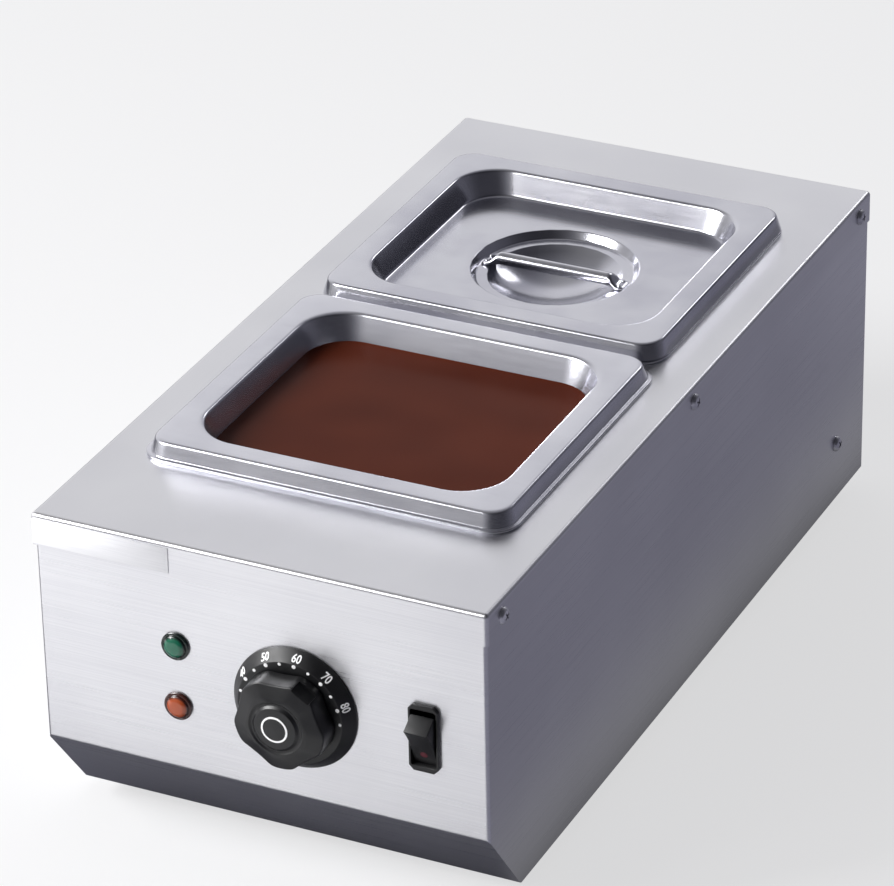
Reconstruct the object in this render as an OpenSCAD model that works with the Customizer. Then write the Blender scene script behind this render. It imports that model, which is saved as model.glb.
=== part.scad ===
// Two-pan electric chocolate melting pot: a folded stainless steel housing with a dry-heat well,
// two lift-out pans, a lid with a sunk handle, a dial thermostat, two pilot lamps and a rocker switch.
// The front faces -Y, +X is to the right seen from the front, and the part stands on z = 0.

/* [Housing] */
// Width across the top cover
body_w = 220; // [214:1:240]
// Front to back length of the top cover
body_d = 446; // [442:1:480]
// Height from the lower edge of the walls to the top of the cover
body_h = 154; // [150:1:180]
// Thickness of the folded sheet
sheet = 1; // [0.8:0.1:1.2]
// Depth of the skirt round the top cover
skirt_h = 15.5; // [14:0.5:20]
// How far the skirt stands out from the walls
skirt_step = 1.2; // [1.2:0.1:2]
// How far back the slope under the front goes
slope_y = 31; // [20:1:40]
// How far up the slope under the front starts
slope_z = 40; // [25:1:45]
// Height of the walls above the table
foot_h = 10; // [8:1:14]

/* [Pans and lid] */
// Width of a pan across its rim
pan_w = 176; // [170:1:180]
// Front to back length of a pan across its rim
pan_d = 162; // [158:1:164]
// Depth of a pan from the top of its rim to its underside
pan_depth = 100; // [65:1:104]
// Distance of the front pan's centre from the front edge of the cover
pan_front = 145.5; // [142:0.5:150]
// Distance between the centres of the pans
pan_pitch = 167; // [166:0.5:172]
// Height of the rim above the cover
rim_h = 8.6; // [7:0.1:10]
// Thickness of the pressed pans and lid
press_t = 1; // [0.8:0.1:1]
// Depth of the chocolate's surface below the cover
fill_drop = 4; // [0:0.5:4.5]
// Depth of the lid's panel below the cover
panel_drop = 2.4; // [1:0.1:3]

/* [Controls] */
// Depth of the dial's centre below the top of the cover
dial_drop = 68.2; // [60:0.1:80]
// Distance of the dial's centre to the right of the middle
dial_x = 17.1; // [0:0.1:25]
// Diameter of the dial plate on the wall
dial_d = 59.6; // [56:0.1:62]
// Thickness of the dial plate
dial_t = 6.2; // [5:0.1:7]
// Diameter of the knob across its grips
knob_d = 44.4; // [42:0.1:46]
// Distance from the wall to the front of the knob
knob_reach = 21.2; // [19:0.1:24]
// Temperature that the knob points to, in degrees Celsius
set_temp = 68; // [30:1:85]
// Distance of the lamps to the left of the middle
lamp_x = 41; // [35:0.5:60]
// Diameter of a lamp's flange
lamp_d = 13.6; // [12:0.1:15]
// Distance of the switch to the right of the middle
switch_x = 79; // [70:0.5:90]
// Tilt of the rocker either side of level, in degrees
rocker_tilt = 12; // [8:1:14]

/* [Hidden] */
$fn = 64;
eps = 0.05;

// Levels and faces of the housing
deck_z = foot_h + body_h;
wall_x = body_w / 2 - skirt_step;
wall_y = body_d / 2 - skirt_step;
bend_r = 2;
fold_r = 2.6;
deck_under = deck_z - sheet;
wall_top = deck_z - bend_r;
flange_w = 16;
front_flange = 12;
back_flange = 45;
base_z = foot_h + sheet;
cover_screw_z = deck_z - skirt_h / 2;
cover_screw_y = [-body_d / 2 + 15, 0, body_d / 2 - 15];
low_screw_y = body_d / 2 - 37.6;
low_screw_z = foot_h + 31.2;
screw_hole = 4;
screw_d = 3.8;
base_screw_at = [for (x = [-1, 1], y = [-0.72, 0, 0.9]) [x * (wall_x - 9), y * wall_y]];
foot_at = [for (x = [-1, 1], y = [-1, 1]) [x * (wall_x - 30), 10 + y * (wall_y - 46)]];

// How far the front pan's rim stands out beyond the rear one's, sideways and lengthways
front_grow = [3, 2.5];

// Places of the pans and the well
pan_y = [-body_d / 2 + pan_front, -body_d / 2 + pan_front + pan_pitch];
mouth_gap = 6;
well_w = pan_w - 12;
well_y0 = pan_y[0] - pan_d / 2 + 4.5;
well_y1 = pan_y[1] + pan_d / 2 - 4.5;
well_mid = (well_y0 + well_y1) / 2;
well_l = well_y1 - well_y0;
well_floor = deck_z - 119;
well_lip = 8;
well_r = 12;
element_r = 4;
element_z = well_floor + 13;
element_x = [15, 55];

// Places on the front wall
dial_z = deck_z - dial_drop;
lamp_z = [dial_z + 16.7, dial_z - 13.8];
shaft_r = 3;
zero_angle = 6.8;
degree_step = 3.31;
knob_turn = zero_angle + degree_step * (set_temp - 60);
knob_base = dial_t + 0.9;
gland_x = -70;
gland_z = foot_h + 28;
gland_bore = 4;
gland_cap = 16;
pivot_in = 2;
cutout_at = [-15, well_y0 - sheet, well_floor + 70];
block_at = [gland_x + 8, wall_y - 75, base_z + sheet];
earth_at = [gland_x + 45, wall_y - 70, base_z + sheet];
bulb_at = [-30, well_mid - 90, well_floor - sheet - 3.2];
bulb_len = 90;

// Where the leads and the capillary tube start and end
back_of_wall = -wall_y + sheet;
tab_y = back_of_wall + 35;
blade_y = -wall_y + 30;
lamp_y = -wall_y + 31;
cutout_y = cutout_at[1] - 18;
pin_y = well_y0 - 22;
clamp_y = block_at[1] - 3;
clamp_z = block_at[2] + 8;
lead_r = 1.2;

// Straight starts and ends of a lead at p, along Y
function leave(p, away) = [p, p + [0, 2.5 * away, 0], p + [0, 5 * away, 0]];
function arrive(p, away) = [p + [0, 5 * away, 0], p + [0, 2.5 * away, 0], p];

// Routes of the leads: mains to switch, switch to thermostat, thermostat to cut-out, cut-out to
// element, element to mains, earth, and the lamps' three
lead_routes = [
    concat(leave([block_at[0] - 12, clamp_y, clamp_z], -1), [[block_at[0] - 12, 126, clamp_z],
        [-84, 100, 20], [-95, 60, 22], [-96, -30, 22], [-95, -120, 22], [-75, -172, 26],
        [0, -193, 34], [60, -190, 44], [79, -178, 66], [79, -172, 80]],
        arrive([switch_x, blade_y, dial_z - 8.4], 1)),
    concat(leave([switch_x, blade_y, dial_z + 8.4], 1), [[70, -172, 108], [45, -170, 112]],
        arrive([dial_x + 9, tab_y, dial_z + 16], 1)),
    concat(leave([dial_x - 9, tab_y, dial_z + 16], 1), [[0, -174, 121], [-12, -181, 127]],
        arrive([cutout_at[0], cutout_y, cutout_at[2] + 6], -1)),
    concat(leave([cutout_at[0], cutout_y, cutout_at[2] - 6], -1), [[-22, -184, 98], [-42, -190, 76]],
        arrive([-element_x[1], pin_y, element_z], -1)),
    concat(leave([element_x[1], pin_y, element_z], -1), [[72, -186, 42], [90, -160, 28],
        [96, -110, 22], [96, -30, 22], [94, 60, 22], [60, 112, 21], [-20, 114, 20], [-44, 122, 20]],
        arrive([block_at[0] + 12, clamp_y, clamp_z], -1)),
    concat(leave([block_at[0], clamp_y, clamp_z], -1), [[-58, 127, 19], [-44, 124, 17]],
        arrive([earth_at[0], earth_at[1] - 4, earth_at[2] + 5.5], -1)),
    concat(leave([-lamp_x - 2.4, lamp_y, lamp_z[0]], 1), [[-48, -183, 98]],
        arrive([-lamp_x - 2.4, lamp_y, lamp_z[1]], 1)),
    concat(leave([-lamp_x + 2.4, lamp_y, lamp_z[0]], 1), [[-24, -178, 104], [-6, -172, 90]],
        arrive([dial_x - 9, tab_y, dial_z - 16], 1)),
    concat(leave([-lamp_x + 2.4, lamp_y, lamp_z[1]], 1), [[-24, -178, 72], [2, -168, 66],
        [20, -168, 70]], arrive([dial_x + 9, tab_y, dial_z - 16], 1))
];
capillary_route = concat(leave(bulb_at - [0, 3, 0], -1), [[-30, -110, 40.8], [-30, -146, 40.8],
    [-28, -162, 46], [-22, -166, 62], [-8, -165, 84], [8, -166, 94]],
    arrive([dial_x, back_of_wall + 31, dial_z], 1));

// Step and bowl sunk in the lid's panel
step_r = 40.5;
step_drop = 3.8;
ledge_r = 38;
bowl_r = 32.5;
bowl_drop = 11;

// Corner steps of every pressed outline
arc_n = 8;

// Outline of a rounded rectangle at height z, as points from corner to corner
function outline(w, d, r, z) = [
    for (c = [0:3], i = [0:arc_n])
        let (a = 90 * c + 90 * i / arc_n,
             sx = (c == 0 || c == 3) ? 1 : -1,
             sy = (c < 2) ? 1 : -1)
        [sx * (w / 2 - r) + r * cos(a), sy * (d / 2 - r) + r * sin(a), z]
];

// The same outline set in from a pan's rim, which can be grown sideways and lengthways
function rim(inset, r, z, grow = [0, 0]) =
    outline(pan_w - 2 * inset + 2 * grow[0], pan_d - 2 * inset + 2 * grow[1], r, z);

// Closed solid through a row of outlines with equal numbers of points
module loft(rings) {
    n = len(rings[0]);
    m = len(rings);
    sides = [for (k = [0:m - 2], i = [0:n - 1]) each [
        [k * n + i, (k + 1) * n + i, (k + 1) * n + (i + 1) % n],
        [k * n + i, (k + 1) * n + (i + 1) % n, k * n + (i + 1) % n]]];
    ends = [[for (i = [0:n - 1]) i], [for (i = [n - 1:-1:0]) (m - 1) * n + i]];
    polyhedron([for (r = rings) each r], concat(sides, ends));
}

function unit(v) = v / norm(v);

// Points of the arc that rounds corner b between a and c
function fold(a, b, c, r) =
    let (u = unit(a - b), v = unit(c - b), half = acos(u * v) / 2,
         o = b + unit(u + v) * r / sin(half), p = b + u * r / tan(half) - o,
         q = b + v * r / tan(half) - o)
    [for (k = [0:6]) o + r * unit(p * (1 - k / 6) + q * k / 6)];

// Direction and pace of a smooth route at its point i
function pace(p, i) =
    let (a = p[max(i - 1, 0)], c = p[min(i + 1, len(p) - 1)], before = norm(p[i] - a),
         after = norm(c - p[i]))
    unit(c - a) * (min(before, after) == 0 ? max(before, after) : min(before, after));

// Smooth route through points, with n steps from each to the next
function route(p, n) = [
    for (i = [0:len(p) - 2], k = [0:n - 1])
        let (t = k / n)
        p[i] * (2 * pow(t, 3) - 3 * t * t + 1) + pace(p, i) * (pow(t, 3) - 2 * t * t + t)
        + p[i + 1] * (3 * t * t - 2 * pow(t, 3)) + pace(p, i + 1) * (pow(t, 3) - t * t),
    p[len(p) - 1]
];

// Directions across a route, each turned as little as possible from the one before
function frames(p, i = 0, last = [0.1, 0.2, 1]) = i == len(p) ? [] :
    let (d = unit(p[min(i + 1, len(p) - 1)] - p[max(i - 1, 0)]), u = unit(last - (last * d) * d))
    concat([[u, cross(d, u)]], frames(p, i + 1, u));

// Wire or small tube of radius r along a smooth route
module lead(points, r) {
    p = route(points, 3);
    f = frames(p);
    loft([for (i = [0:len(p) - 1])
        [for (a = [0:60:300]) p[i] + r * (cos(a) * f[i][0] + sin(a) * f[i][1])]]);
}

// Flat rounded rectangle with true arcs, centred
module rounded(w, d, r) {
    square([w - 2 * r, d], center = true);
    square([w, d - 2 * r], center = true);
    for (x = [-1, 1], y = [-1, 1])
        translate([x * (w / 2 - r), y * (d / 2 - r)]) circle(r = r);
}

// Block with rounded upright corners and rolled top edges, centred, with its top at z = 0
module rolled_block(w, d, h, r) {
    translate([0, 0, -h]) linear_extrude(h - r) rounded(w, d, r);
    translate([0, 0, -h / 2]) cube([w - 2 * r, d - 2 * r, h], center = true);
    for (s = [-1, 1]) {
        translate([0, s * (d / 2 - r), -r]) rotate([0, 90, 0])
            cylinder(r = r, h = w - 2 * r, center = true);
        translate([s * (w / 2 - r), 0, -r]) rotate([90, 0, 0])
            cylinder(r = r, h = d - 2 * r, center = true);
        for (t = [-1, 1])
            translate([s * (w / 2 - r), t * (d / 2 - r), -r]) sphere(r = r);
    }
}

// Cross-recessed screw with a domed head above z = 0 and its shank below
module screw(head_d, head_h, length, d = screw_d) {
    ball = (pow(head_d / 2, 2) + pow(head_h, 2)) / (2 * head_h);
    difference() {
        union() {
            intersection() {
                translate([0, 0, head_h - ball]) sphere(r = ball);
                cylinder(d = head_d, h = head_h);
            }
            translate([0, 0, -length]) cylinder(d = d, h = length + eps);
        }
        for (a = [0, 90])
            rotate(a) translate([0, 0, head_h]) cube([head_d * 0.5, 0.9, head_h * 0.9], center = true);
    }
}

// Hexagon nut from z = 0 upwards, with its bore
module nut(flats, h, bore_r) {
    difference() {
        cylinder(r = flats / sqrt(3), h = h, $fn = 6);
        translate([0, 0, -1]) cylinder(r = bore_r, h = h + 2);
    }
}

// Puts children that stand on z = 0 on the front wall, with their z pointing out of it
module on_front(x, z) {
    translate([x, -wall_y, z]) rotate([90, 0, 0]) children();
}

// Puts children that stand on z = 0 on a side face: side is -1 or 1
module on_side(side, y, z, face_x) {
    translate([side * face_x, y, z]) rotate([0, side * 90, 0]) children();
}

// Side view of the walls, drawn as y and z, set in by t
module wall_profile(t) {
    run = sqrt(pow(slope_y, 2) + pow(slope_z, 2));
    top = [-wall_y + t, deck_z];
    knee = [-wall_y + t, foot_h + slope_z + t * (run - slope_z) / slope_y];
    heel = [-wall_y + slope_y + t * (run - slope_y) / slope_z, foot_h + t];
    back = [wall_y + 1, foot_h + t];
    polygon([top, [wall_y + 1, deck_z], back, each fold(back, heel, knee, fold_r - t),
        each fold(heel, knee, top, fold_r - t)]);
}

// Solid between the walls, set in by t
module wall_block(t) {
    intersection() {
        rotate([90, 0, 90]) translate([0, 0, -wall_x + t])
            linear_extrude(2 * (wall_x - t)) wall_profile(t);
        translate([0, 20, 0]) linear_extrude(deck_z)
            rounded(2 * (wall_x - t), 2 * (wall_y - t) + 40, bend_r - t);
    }
}

// Front, slope and sides folded from one sheet, with flanges that carry the base plate
module body_shell() {
    color("gainsboro") difference() {
        intersection() {
            wall_block(0);
            translate([-wall_x, -wall_y, 0]) cube([2 * wall_x, 2 * wall_y, wall_top]);
        }
        wall_block(sheet);
        translate([flange_w - wall_x, -wall_y + slope_y + front_flange, 0])
            cube([2 * (wall_x - flange_w), 2 * wall_y, foot_h + 2 * sheet]);
        on_front(dial_x, dial_z) {
            translate([0, 0, -5]) cylinder(r = 6, h = 10);
            for (s = [-1, 1])
                translate([s * 14, 0, -5]) cylinder(d = screw_hole, h = 10);
        }
        for (z = lamp_z)
            on_front(-lamp_x, z) translate([0, 0, -5]) cylinder(d = 10.2, h = 10);
        on_front(switch_x, dial_z) cube([13, 28, 10], center = true);
        for (s = [-1, 1]) {
            for (y = cover_screw_y)
                on_side(s, y, cover_screw_z, wall_x - 5) cylinder(d = screw_hole, h = 10);
            on_side(s, low_screw_y, low_screw_z, wall_x - 5) cylinder(d = screw_hole, h = 10);
        }
        for (p = base_screw_at)
            translate([p[0], p[1], foot_h - 1]) cylinder(d = screw_hole, h = 3);
    }
}

// Deck with rolled edges, a skirt all round and a punched mouth for each pan
module top_cover() {
    color("lightgray") translate([0, 0, deck_z]) difference() {
        rolled_block(body_w, body_d, skirt_h, bend_r);
        translate([0, 0, -sheet])
            rolled_block(body_w - 2 * sheet, body_d - 2 * sheet, skirt_h, bend_r - sheet);
        for (y = pan_y)
            translate([0, y, -2 * sheet]) linear_extrude(3 * sheet)
                rounded(pan_w - 2 * mouth_gap, pan_d - 2 * mouth_gap, 16);
        for (s = [-1, 1], y = cover_screw_y)
            on_side(s, y, -skirt_h / 2, body_w / 2 - 3) cylinder(d = screw_hole, h = 6);
    }
}

// Rear wall with deep side flanges and a bottom flange, inside the side walls
module back_panel() {
    half = wall_x - sheet;
    color("silver") difference() {
        translate([-half, wall_y - back_flange, base_z])
            cube([2 * half, back_flange, wall_top - base_z]);
        translate([-half + sheet, wall_y - back_flange - 1, base_z - 1])
            cube([2 * (half - sheet), back_flange + 1 - sheet, wall_top]);
        for (s = [-1, 1]) {
            on_side(s, cover_screw_y[2], cover_screw_z, half - 5) cylinder(d = screw_d, h = 10);
            on_side(s, low_screw_y, low_screw_z, half - 5) cylinder(d = screw_d, h = 10);
        }
        translate([gland_x, wall_y + 1, gland_z]) rotate([90, 0, 0]) cylinder(r = 8.1, h = 5);
    }
}

// Floor plate on the flanges, with two fields of vent slots
module base_plate() {
    front = -wall_y + slope_y + 4;
    rear = wall_y - sheet - 0.5;
    half = wall_x - 2 * sheet - 0.6;
    color("darkgray") difference() {
        translate([-half, front, base_z]) cube([2 * half, rear - front, sheet]);
        for (field = [-1, 1], k = [-3:3])
            translate([0, 20 + field * 85 + k * 9, base_z - 1]) linear_extrude(sheet + 2)
                rounded(70, 4, 1.99);
        for (p = base_screw_at)
            translate([p[0], p[1], base_z - 1]) cylinder(d = screw_d, h = sheet + 2);
        for (p = foot_at)
            translate([p[0], p[1], base_z - 1]) cylinder(d = screw_d, h = sheet + 2);
    }
}

// Three domed screws through the skirt on each side
module cover_screws() {
    color("whitesmoke") for (s = [-1, 1], y = cover_screw_y)
        on_side(s, y, cover_screw_z, body_w / 2) screw(8, 2.4, 8);
}

// One domed screw low on each side, into the back panel's flange
module back_panel_screws() {
    color("whitesmoke") for (s = [-1, 1])
        on_side(s, low_screw_y, low_screw_z, wall_x) screw(8, 2.4, 7);
}

// Screws that hold the base plate on the flanges from below
module base_screws() {
    color("whitesmoke") for (p = base_screw_at)
        translate([p[0], p[1], foot_h]) rotate([180, 0, 0]) screw(7, 2, 6);
}

// Rubber foot under the base plate, with a sunk seat for its screw
module foot() {
    rotate_extrude() difference() {
        union() {
            square([8.5, base_z]);
            translate([8.5, 1.5]) circle(r = 1.5);
            polygon([[8, 1.5], [10, 1.5], [11.5, base_z], [8, base_z]]);
        }
        square([5, 4]);
        square([screw_d / 2 + 0.1, base_z + 1]);
    }
}

module feet() {
    color("black") for (p = foot_at) translate([p[0], p[1], 0]) foot();
}

module foot_screws() {
    color("silver") for (p = foot_at)
        translate([p[0], p[1], 4]) rotate([180, 0, 0]) screw(7.5, 2, base_z + 2);
}

// Welded tank under the deck that holds the warm air round both pans
module well_tank() {
    color("silver") difference() {
        union() {
            translate([0, well_mid, well_floor - sheet])
                linear_extrude(deck_under - well_floor + sheet)
                    rounded(well_w + 2 * sheet, well_l + 2 * sheet, well_r + sheet);
            translate([0, well_mid, deck_under - sheet]) linear_extrude(sheet)
                rounded(well_w + 2 * well_lip, well_l + 2 * well_lip, well_r + well_lip);
        }
        translate([0, well_mid, well_floor]) linear_extrude(deck_z)
            rounded(well_w, well_l, well_r);
        for (s = [-1, 1])
            translate([s * element_x[1], well_y0 + 5, element_z]) rotate([90, 0, 0])
                cylinder(r = 7.1, h = 20);
    }
}

// Tubular element bent into an M below the pans, with its ends through the well's front wall
module heating_element() {
    turn = (element_x[1] - element_x[0]) / 2;
    back = well_y1 - 45;
    near = well_y0 + 40;
    color("dimgray") translate([0, 0, element_z]) {
        for (s = [-1, 1]) {
            translate([s * element_x[1], well_y0 - 14, 0]) rotate([-90, 0, 0])
                cylinder(r = element_r, h = back - well_y0 + 14);
            translate([s * element_x[1], well_y0 - 22, 0]) rotate([-90, 0, 0])
                cylinder(r = 1.8, h = 10);
            translate([s * element_x[0], near, 0]) rotate([-90, 0, 0])
                cylinder(r = element_r, h = back - near);
            translate([s * (element_x[0] + turn), back, 0]) rotate_extrude(angle = 180)
                translate([turn, 0]) circle(r = element_r);
        }
        translate([0, near, 0]) rotate(180) rotate_extrude(angle = 180)
            translate([element_x[0], 0]) circle(r = element_r);
    }
}

// Brass bushes and nuts that seal the element's ends in the well's wall
module element_nuts() {
    color("goldenrod") for (s = [-1, 1])
        translate([s * element_x[1], well_y0, element_z]) {
            rotate([90, 0, 0]) translate([0, 0, sheet]) nut(19, 5, 7);
            rotate([-90, 0, 0]) nut(19, 4, 7);
            rotate([90, 0, 0]) translate([0, 0, -4]) difference() {
                cylinder(r = 7, h = 13);
                translate([0, 0, -1]) cylinder(r = element_r, h = 20);
            }
        }
}

// Two angle strips across the floor of the well, with half-round seats for the element's runs
module element_clips() {
    strip_w = 2 * element_x[1] + 20;
    rise = element_z - well_floor;
    color("silver") for (s = [-1, 1]) translate([0, well_mid + s * 60, well_floor]) difference() {
        union() {
            translate([-strip_w / 2, 0, 0]) cube([strip_w, sheet, rise]);
            translate([-strip_w / 2, 0, 0]) cube([strip_w, 12, sheet]);
        }
        for (x = [-1, 1], run = element_x)
            translate([x * run, -1, rise]) rotate([-90, 0, 0]) cylinder(r = element_r, h = 4);
    }
}

// Capillary thermostat behind the dial
module thermostat_body() {
    color("lightgray") translate([dial_x, -wall_y + sheet, dial_z]) rotate([-90, 0, 0]) {
        difference() {
            union() {
                translate([0, 0, 0.75]) cube([38, 26, 1.5], center = true);
                translate([0, 0, 1.5 + 12]) cube([34, 42, 24], center = true);
                translate([0, 0, 25]) cylinder(r = 13, h = 6);
                for (s = [-1, 1], t = [-1, 1])
                    translate([s * 9, t * 16, 30]) cube([6.3, 0.8, 10], center = true);
            }
            translate([0, 0, -1]) cylinder(r = shaft_r + 0.05, h = 16);
            for (s = [-1, 1])
                translate([s * 14, 0, -1]) cylinder(d = screw_d, h = 8);
        }
    }
}

// Two screws under the dial plate that hold the thermostat
module thermostat_screws() {
    color("silver") for (s = [-1, 1])
        on_front(dial_x + s * 14, dial_z) screw(7, 1.6, 7);
}

// Sensing bulb under the well
module thermostat_bulb() {
    color("peru") translate(bulb_at) rotate([-90, 0, 0]) {
        cylinder(r = 3, h = bulb_len);
        translate([0, 0, bulb_len]) sphere(r = 3);
        sphere(r = 3);
    }
}

// Thin tube from the bulb to the thermostat
module capillary_tube() {
    color("peru") lead(capillary_route, 0.7);
}

// Strap that holds the bulb against the well
module bulb_clip() {
    color("silver") translate([bulb_at[0], well_mid - 50, well_floor - sheet]) {
        difference() {
            union() {
                translate([0, 0, -3.2]) rotate([90, 0, 0])
                    cylinder(r = 4.2, h = 12, center = true);
                translate([-4.2, -6, -3.2]) cube([8.4, 12, 3.2]);
                translate([-12, -6, -1]) cube([24, 12, 1]);
            }
            translate([0, 0, -3.2]) rotate([90, 0, 0])
                cylinder(r = 3.2, h = 14, center = true);
            translate([-3.2, -7, -3.2]) cube([6.4, 14, 5]);
            translate([-20, -10, 0]) cube([40, 20, 10]);
        }
    }
}

// Insulated leads between the terminals
module wiring_loom() {
    color("sienna") for (points = lead_routes) lead(points, lead_r);
}

// Fixed black dial plate with a flat front and a tapered rim
module dial_plate() {
    edge = dial_d / 2;
    face = 26.1;
    color("black") on_front(dial_x, dial_z) difference() {
        union() {
            cylinder(r = edge, h = 1);
            translate([0, 0, 1]) cylinder(r1 = edge, r2 = face, h = dial_t - 1);
        }
        translate([0, 0, -1]) cylinder(r = 7, h = 10);
        translate([0, 0, -1]) cylinder(r = 20, h = dial_t - 0.6);
    }
}

// Thermostat shaft with the flat that drives the knob
module thermostat_shaft() {
    color("silver") on_front(dial_x, dial_z) rotate(-knob_turn) difference() {
        translate([0, 0, -sheet - 12]) cylinder(r = shaft_r, h = 12 + sheet + knob_reach - 6);
        translate([-5, 1.6, knob_base]) cube([10, 5, 30]);
    }
}

// Side view of the knob: rounded edge, domed face with a ring-shaped dish, raised round centre
module knob_profile(tip, height) {
    edge_r = 2.6;
    dome = 62;
    difference() {
        intersection() {
            union() {
                square([tip - edge_r, height]);
                polygon([[0, 0], [tip, 0], [tip - 0.3, height - edge_r], [0, height - edge_r]]);
                translate([tip - edge_r - 0.3, height - edge_r]) circle(r = edge_r);
            }
            translate([0, height - dome]) circle(r = dome, $fn = 256);
        }
        translate([11.5, height + 1.6]) circle(r = 3);
    }
}

// Black knob with five finger scallops and a pocket that points at the scale
module temperature_knob() {
    tip = knob_d / 2;
    height = knob_reach - knob_base;
    play = 0.03;
    color("dimgray") on_front(dial_x, dial_z) rotate(-knob_turn) translate([0, 0, knob_base])
        difference() {
            rotate_extrude() intersection() {
                knob_profile(tip, height);
                square([tip + 1, height + 1]);
            }
            for (k = [0:4])
                rotate(36 + 72 * k) translate([0, tip + 26.5, -1]) cylinder(r = 28, h = height + 2);
            translate([0, tip + 1, height + 3.4]) rotate([52, 0, 0]) cube([9, 30, 9], center = true);
            translate([0, 0, -1]) intersection() {
                cylinder(r = shaft_r + play, h = height - 5 + 1);
                translate([-5, -5, 0]) cube([10, 6.6 + play, 30]);
            }
            translate([0, 0, -1]) difference() {
                cylinder(r = tip - 3.2, h = 7);
                cylinder(r = 5.5, h = 8);
            }
        }
}

// Outline of a rectangle with cut corners
module cut_corners(w, h, c) {
    polygon([[-w / 2 + c, -h / 2], [w / 2 - c, -h / 2], [w / 2, -h / 2 + c], [w / 2, h / 2 - c],
        [w / 2 - c, h / 2], [-w / 2 + c, h / 2], [-w / 2, h / 2 - c], [-w / 2, -h / 2 + c]]);
}

// Black snap-in frame and box of the rocker switch
module switch_housing() {
    color("black") on_front(switch_x, dial_z) difference() {
        union() {
            linear_extrude(2) cut_corners(15, 33, 2.2);
            translate([0, 0, -11]) cube([12.8, 27.8, 22.2], center = true);
        }
        translate([0, 0, -3.5]) cube([10.4, 26.8, 12], center = true);
        translate([0, 0, -pivot_in]) rotate([0, 90, 0]) cylinder(r = 1.55, h = 20, center = true);
    }
}

// Three tinned blades at the back of the switch
module switch_terminals() {
    color("silver") on_front(switch_x, dial_z) for (k = [-1:1])
        translate([-2.4, k * 8.4 - 0.4, -30]) cube([4.8, 0.8, 7.9]);
}

// Rocker with a dished face and stub pins, tilted so that its lower half is pressed in
module switch_rocker() {
    color("dimgray") on_front(switch_x, dial_z) translate([0, 0, -pivot_in])
        rotate([rocker_tilt, 0, 0]) {
            rotate([0, 90, 0]) cylinder(r = 1.5, h = 12.4, center = true);
            rotate([90, 0, 90]) translate([0, 0, -4.8]) linear_extrude(9.6) difference() {
                polygon([[-6, -2.5], [6, -2.5], [12.6, 3.6], [9.2, 8.5], [-9.2, 8.5], [-12.6, 3.6]]);
                translate([0, 25.7]) circle(r = 19.5, $fn = 128);
            }
        }
}

// Domed lens with a thin flange
module lens() {
    cylinder(d = lamp_d, h = 1.4);
    translate([0, 0, 1.4]) intersection() {
        cylinder(d = lamp_d - 2, h = 3);
        translate([0, 0, -8.1]) sphere(r = 10);
    }
    translate([0, 0, -4]) cylinder(r = 4, h = 4 + eps);
}

module green_lens() {
    color("seagreen") on_front(-lamp_x, lamp_z[0]) lens();
}

module amber_lens() {
    color("peru") on_front(-lamp_x, lamp_z[1]) lens();
}

// Pilot lamp bodies with their two tags, behind the wall
module lamp_bodies() {
    color("black") for (z = lamp_z) on_front(-lamp_x, z) difference() {
        union() {
            translate([0, 0, -24]) cylinder(r = 5, h = 24);
            for (s = [-1, 1])
                translate([s * 2.4 - 0.4, -1.4, -31]) cube([0.8, 2.8, 8]);
        }
        translate([0, 0, -4]) cylinder(r = 4, h = 5);
    }
}

module lamp_nuts() {
    color("silver") for (z = lamp_z)
        on_front(-lamp_x, z) translate([0, 0, -sheet - 3]) nut(14, 3, 5);
}

// Overheat cut-out on the front wall of the well, with a reset button
module thermal_cutout() {
    color("ivory") translate(cutout_at) rotate([90, 0, 0])
        difference() {
            union() {
                translate([0, 0, 0.5]) cube([30, 10, 1], center = true);
                cylinder(r = 8, h = 10);
                translate([0, 0, 10]) cylinder(r = 2, h = 3);
                for (s = [-1, 1])
                    translate([-3.15, s * 6 - 0.4, 10]) cube([6.3, 0.8, 8]);
            }
            for (s = [-1, 1])
                translate([s * 12, 0, -1]) cylinder(d = 3, h = 3);
        }
}

module cutout_screws() {
    color("silver") for (s = [-1, 1])
        translate(cutout_at) rotate([90, 0, 0]) translate([s * 12, 0, 1])
            screw(5.4, 1.6, 1, 2.9);
}

// Three-way terminal block on the base plate, near the gland
module terminal_block() {
    color("ivory") translate(block_at) difference() {
        union() {
            translate([0, 0, 6]) cube([38, 24, 12], center = true);
            for (k = [-1:1])
                translate([k * 12, 0, 12]) cube([9, 20, 8], center = true);
        }
        for (k = [-1:1]) {
            translate([k * 12, 0, 8]) rotate([90, 0, 0]) cylinder(r = 2.2, h = 30, center = true);
            for (s = [-1, 1])
                translate([k * 12, s * 5, 8]) cylinder(r = 1.8, h = 10);
        }
    }
}

module terminal_screws() {
    color("silver") translate(block_at) for (k = [-1:1], s = [-1, 1])
        translate([k * 12, s * 5, 9.5]) difference() {
            cylinder(r = 1.75, h = 4.5);
            translate([0, 0, 4.5]) cube([5, 0.7, 1.6], center = true);
        }
}

// Earth screw with its nut on the base plate
module earth_screw() {
    color("goldenrod") translate(earth_at) {
        nut(8, 3, 2.1);
        cylinder(r = 2.1, h = 11);
        translate([0, 0, 4]) nut(8, 3, 2.1);
    }
}

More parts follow.
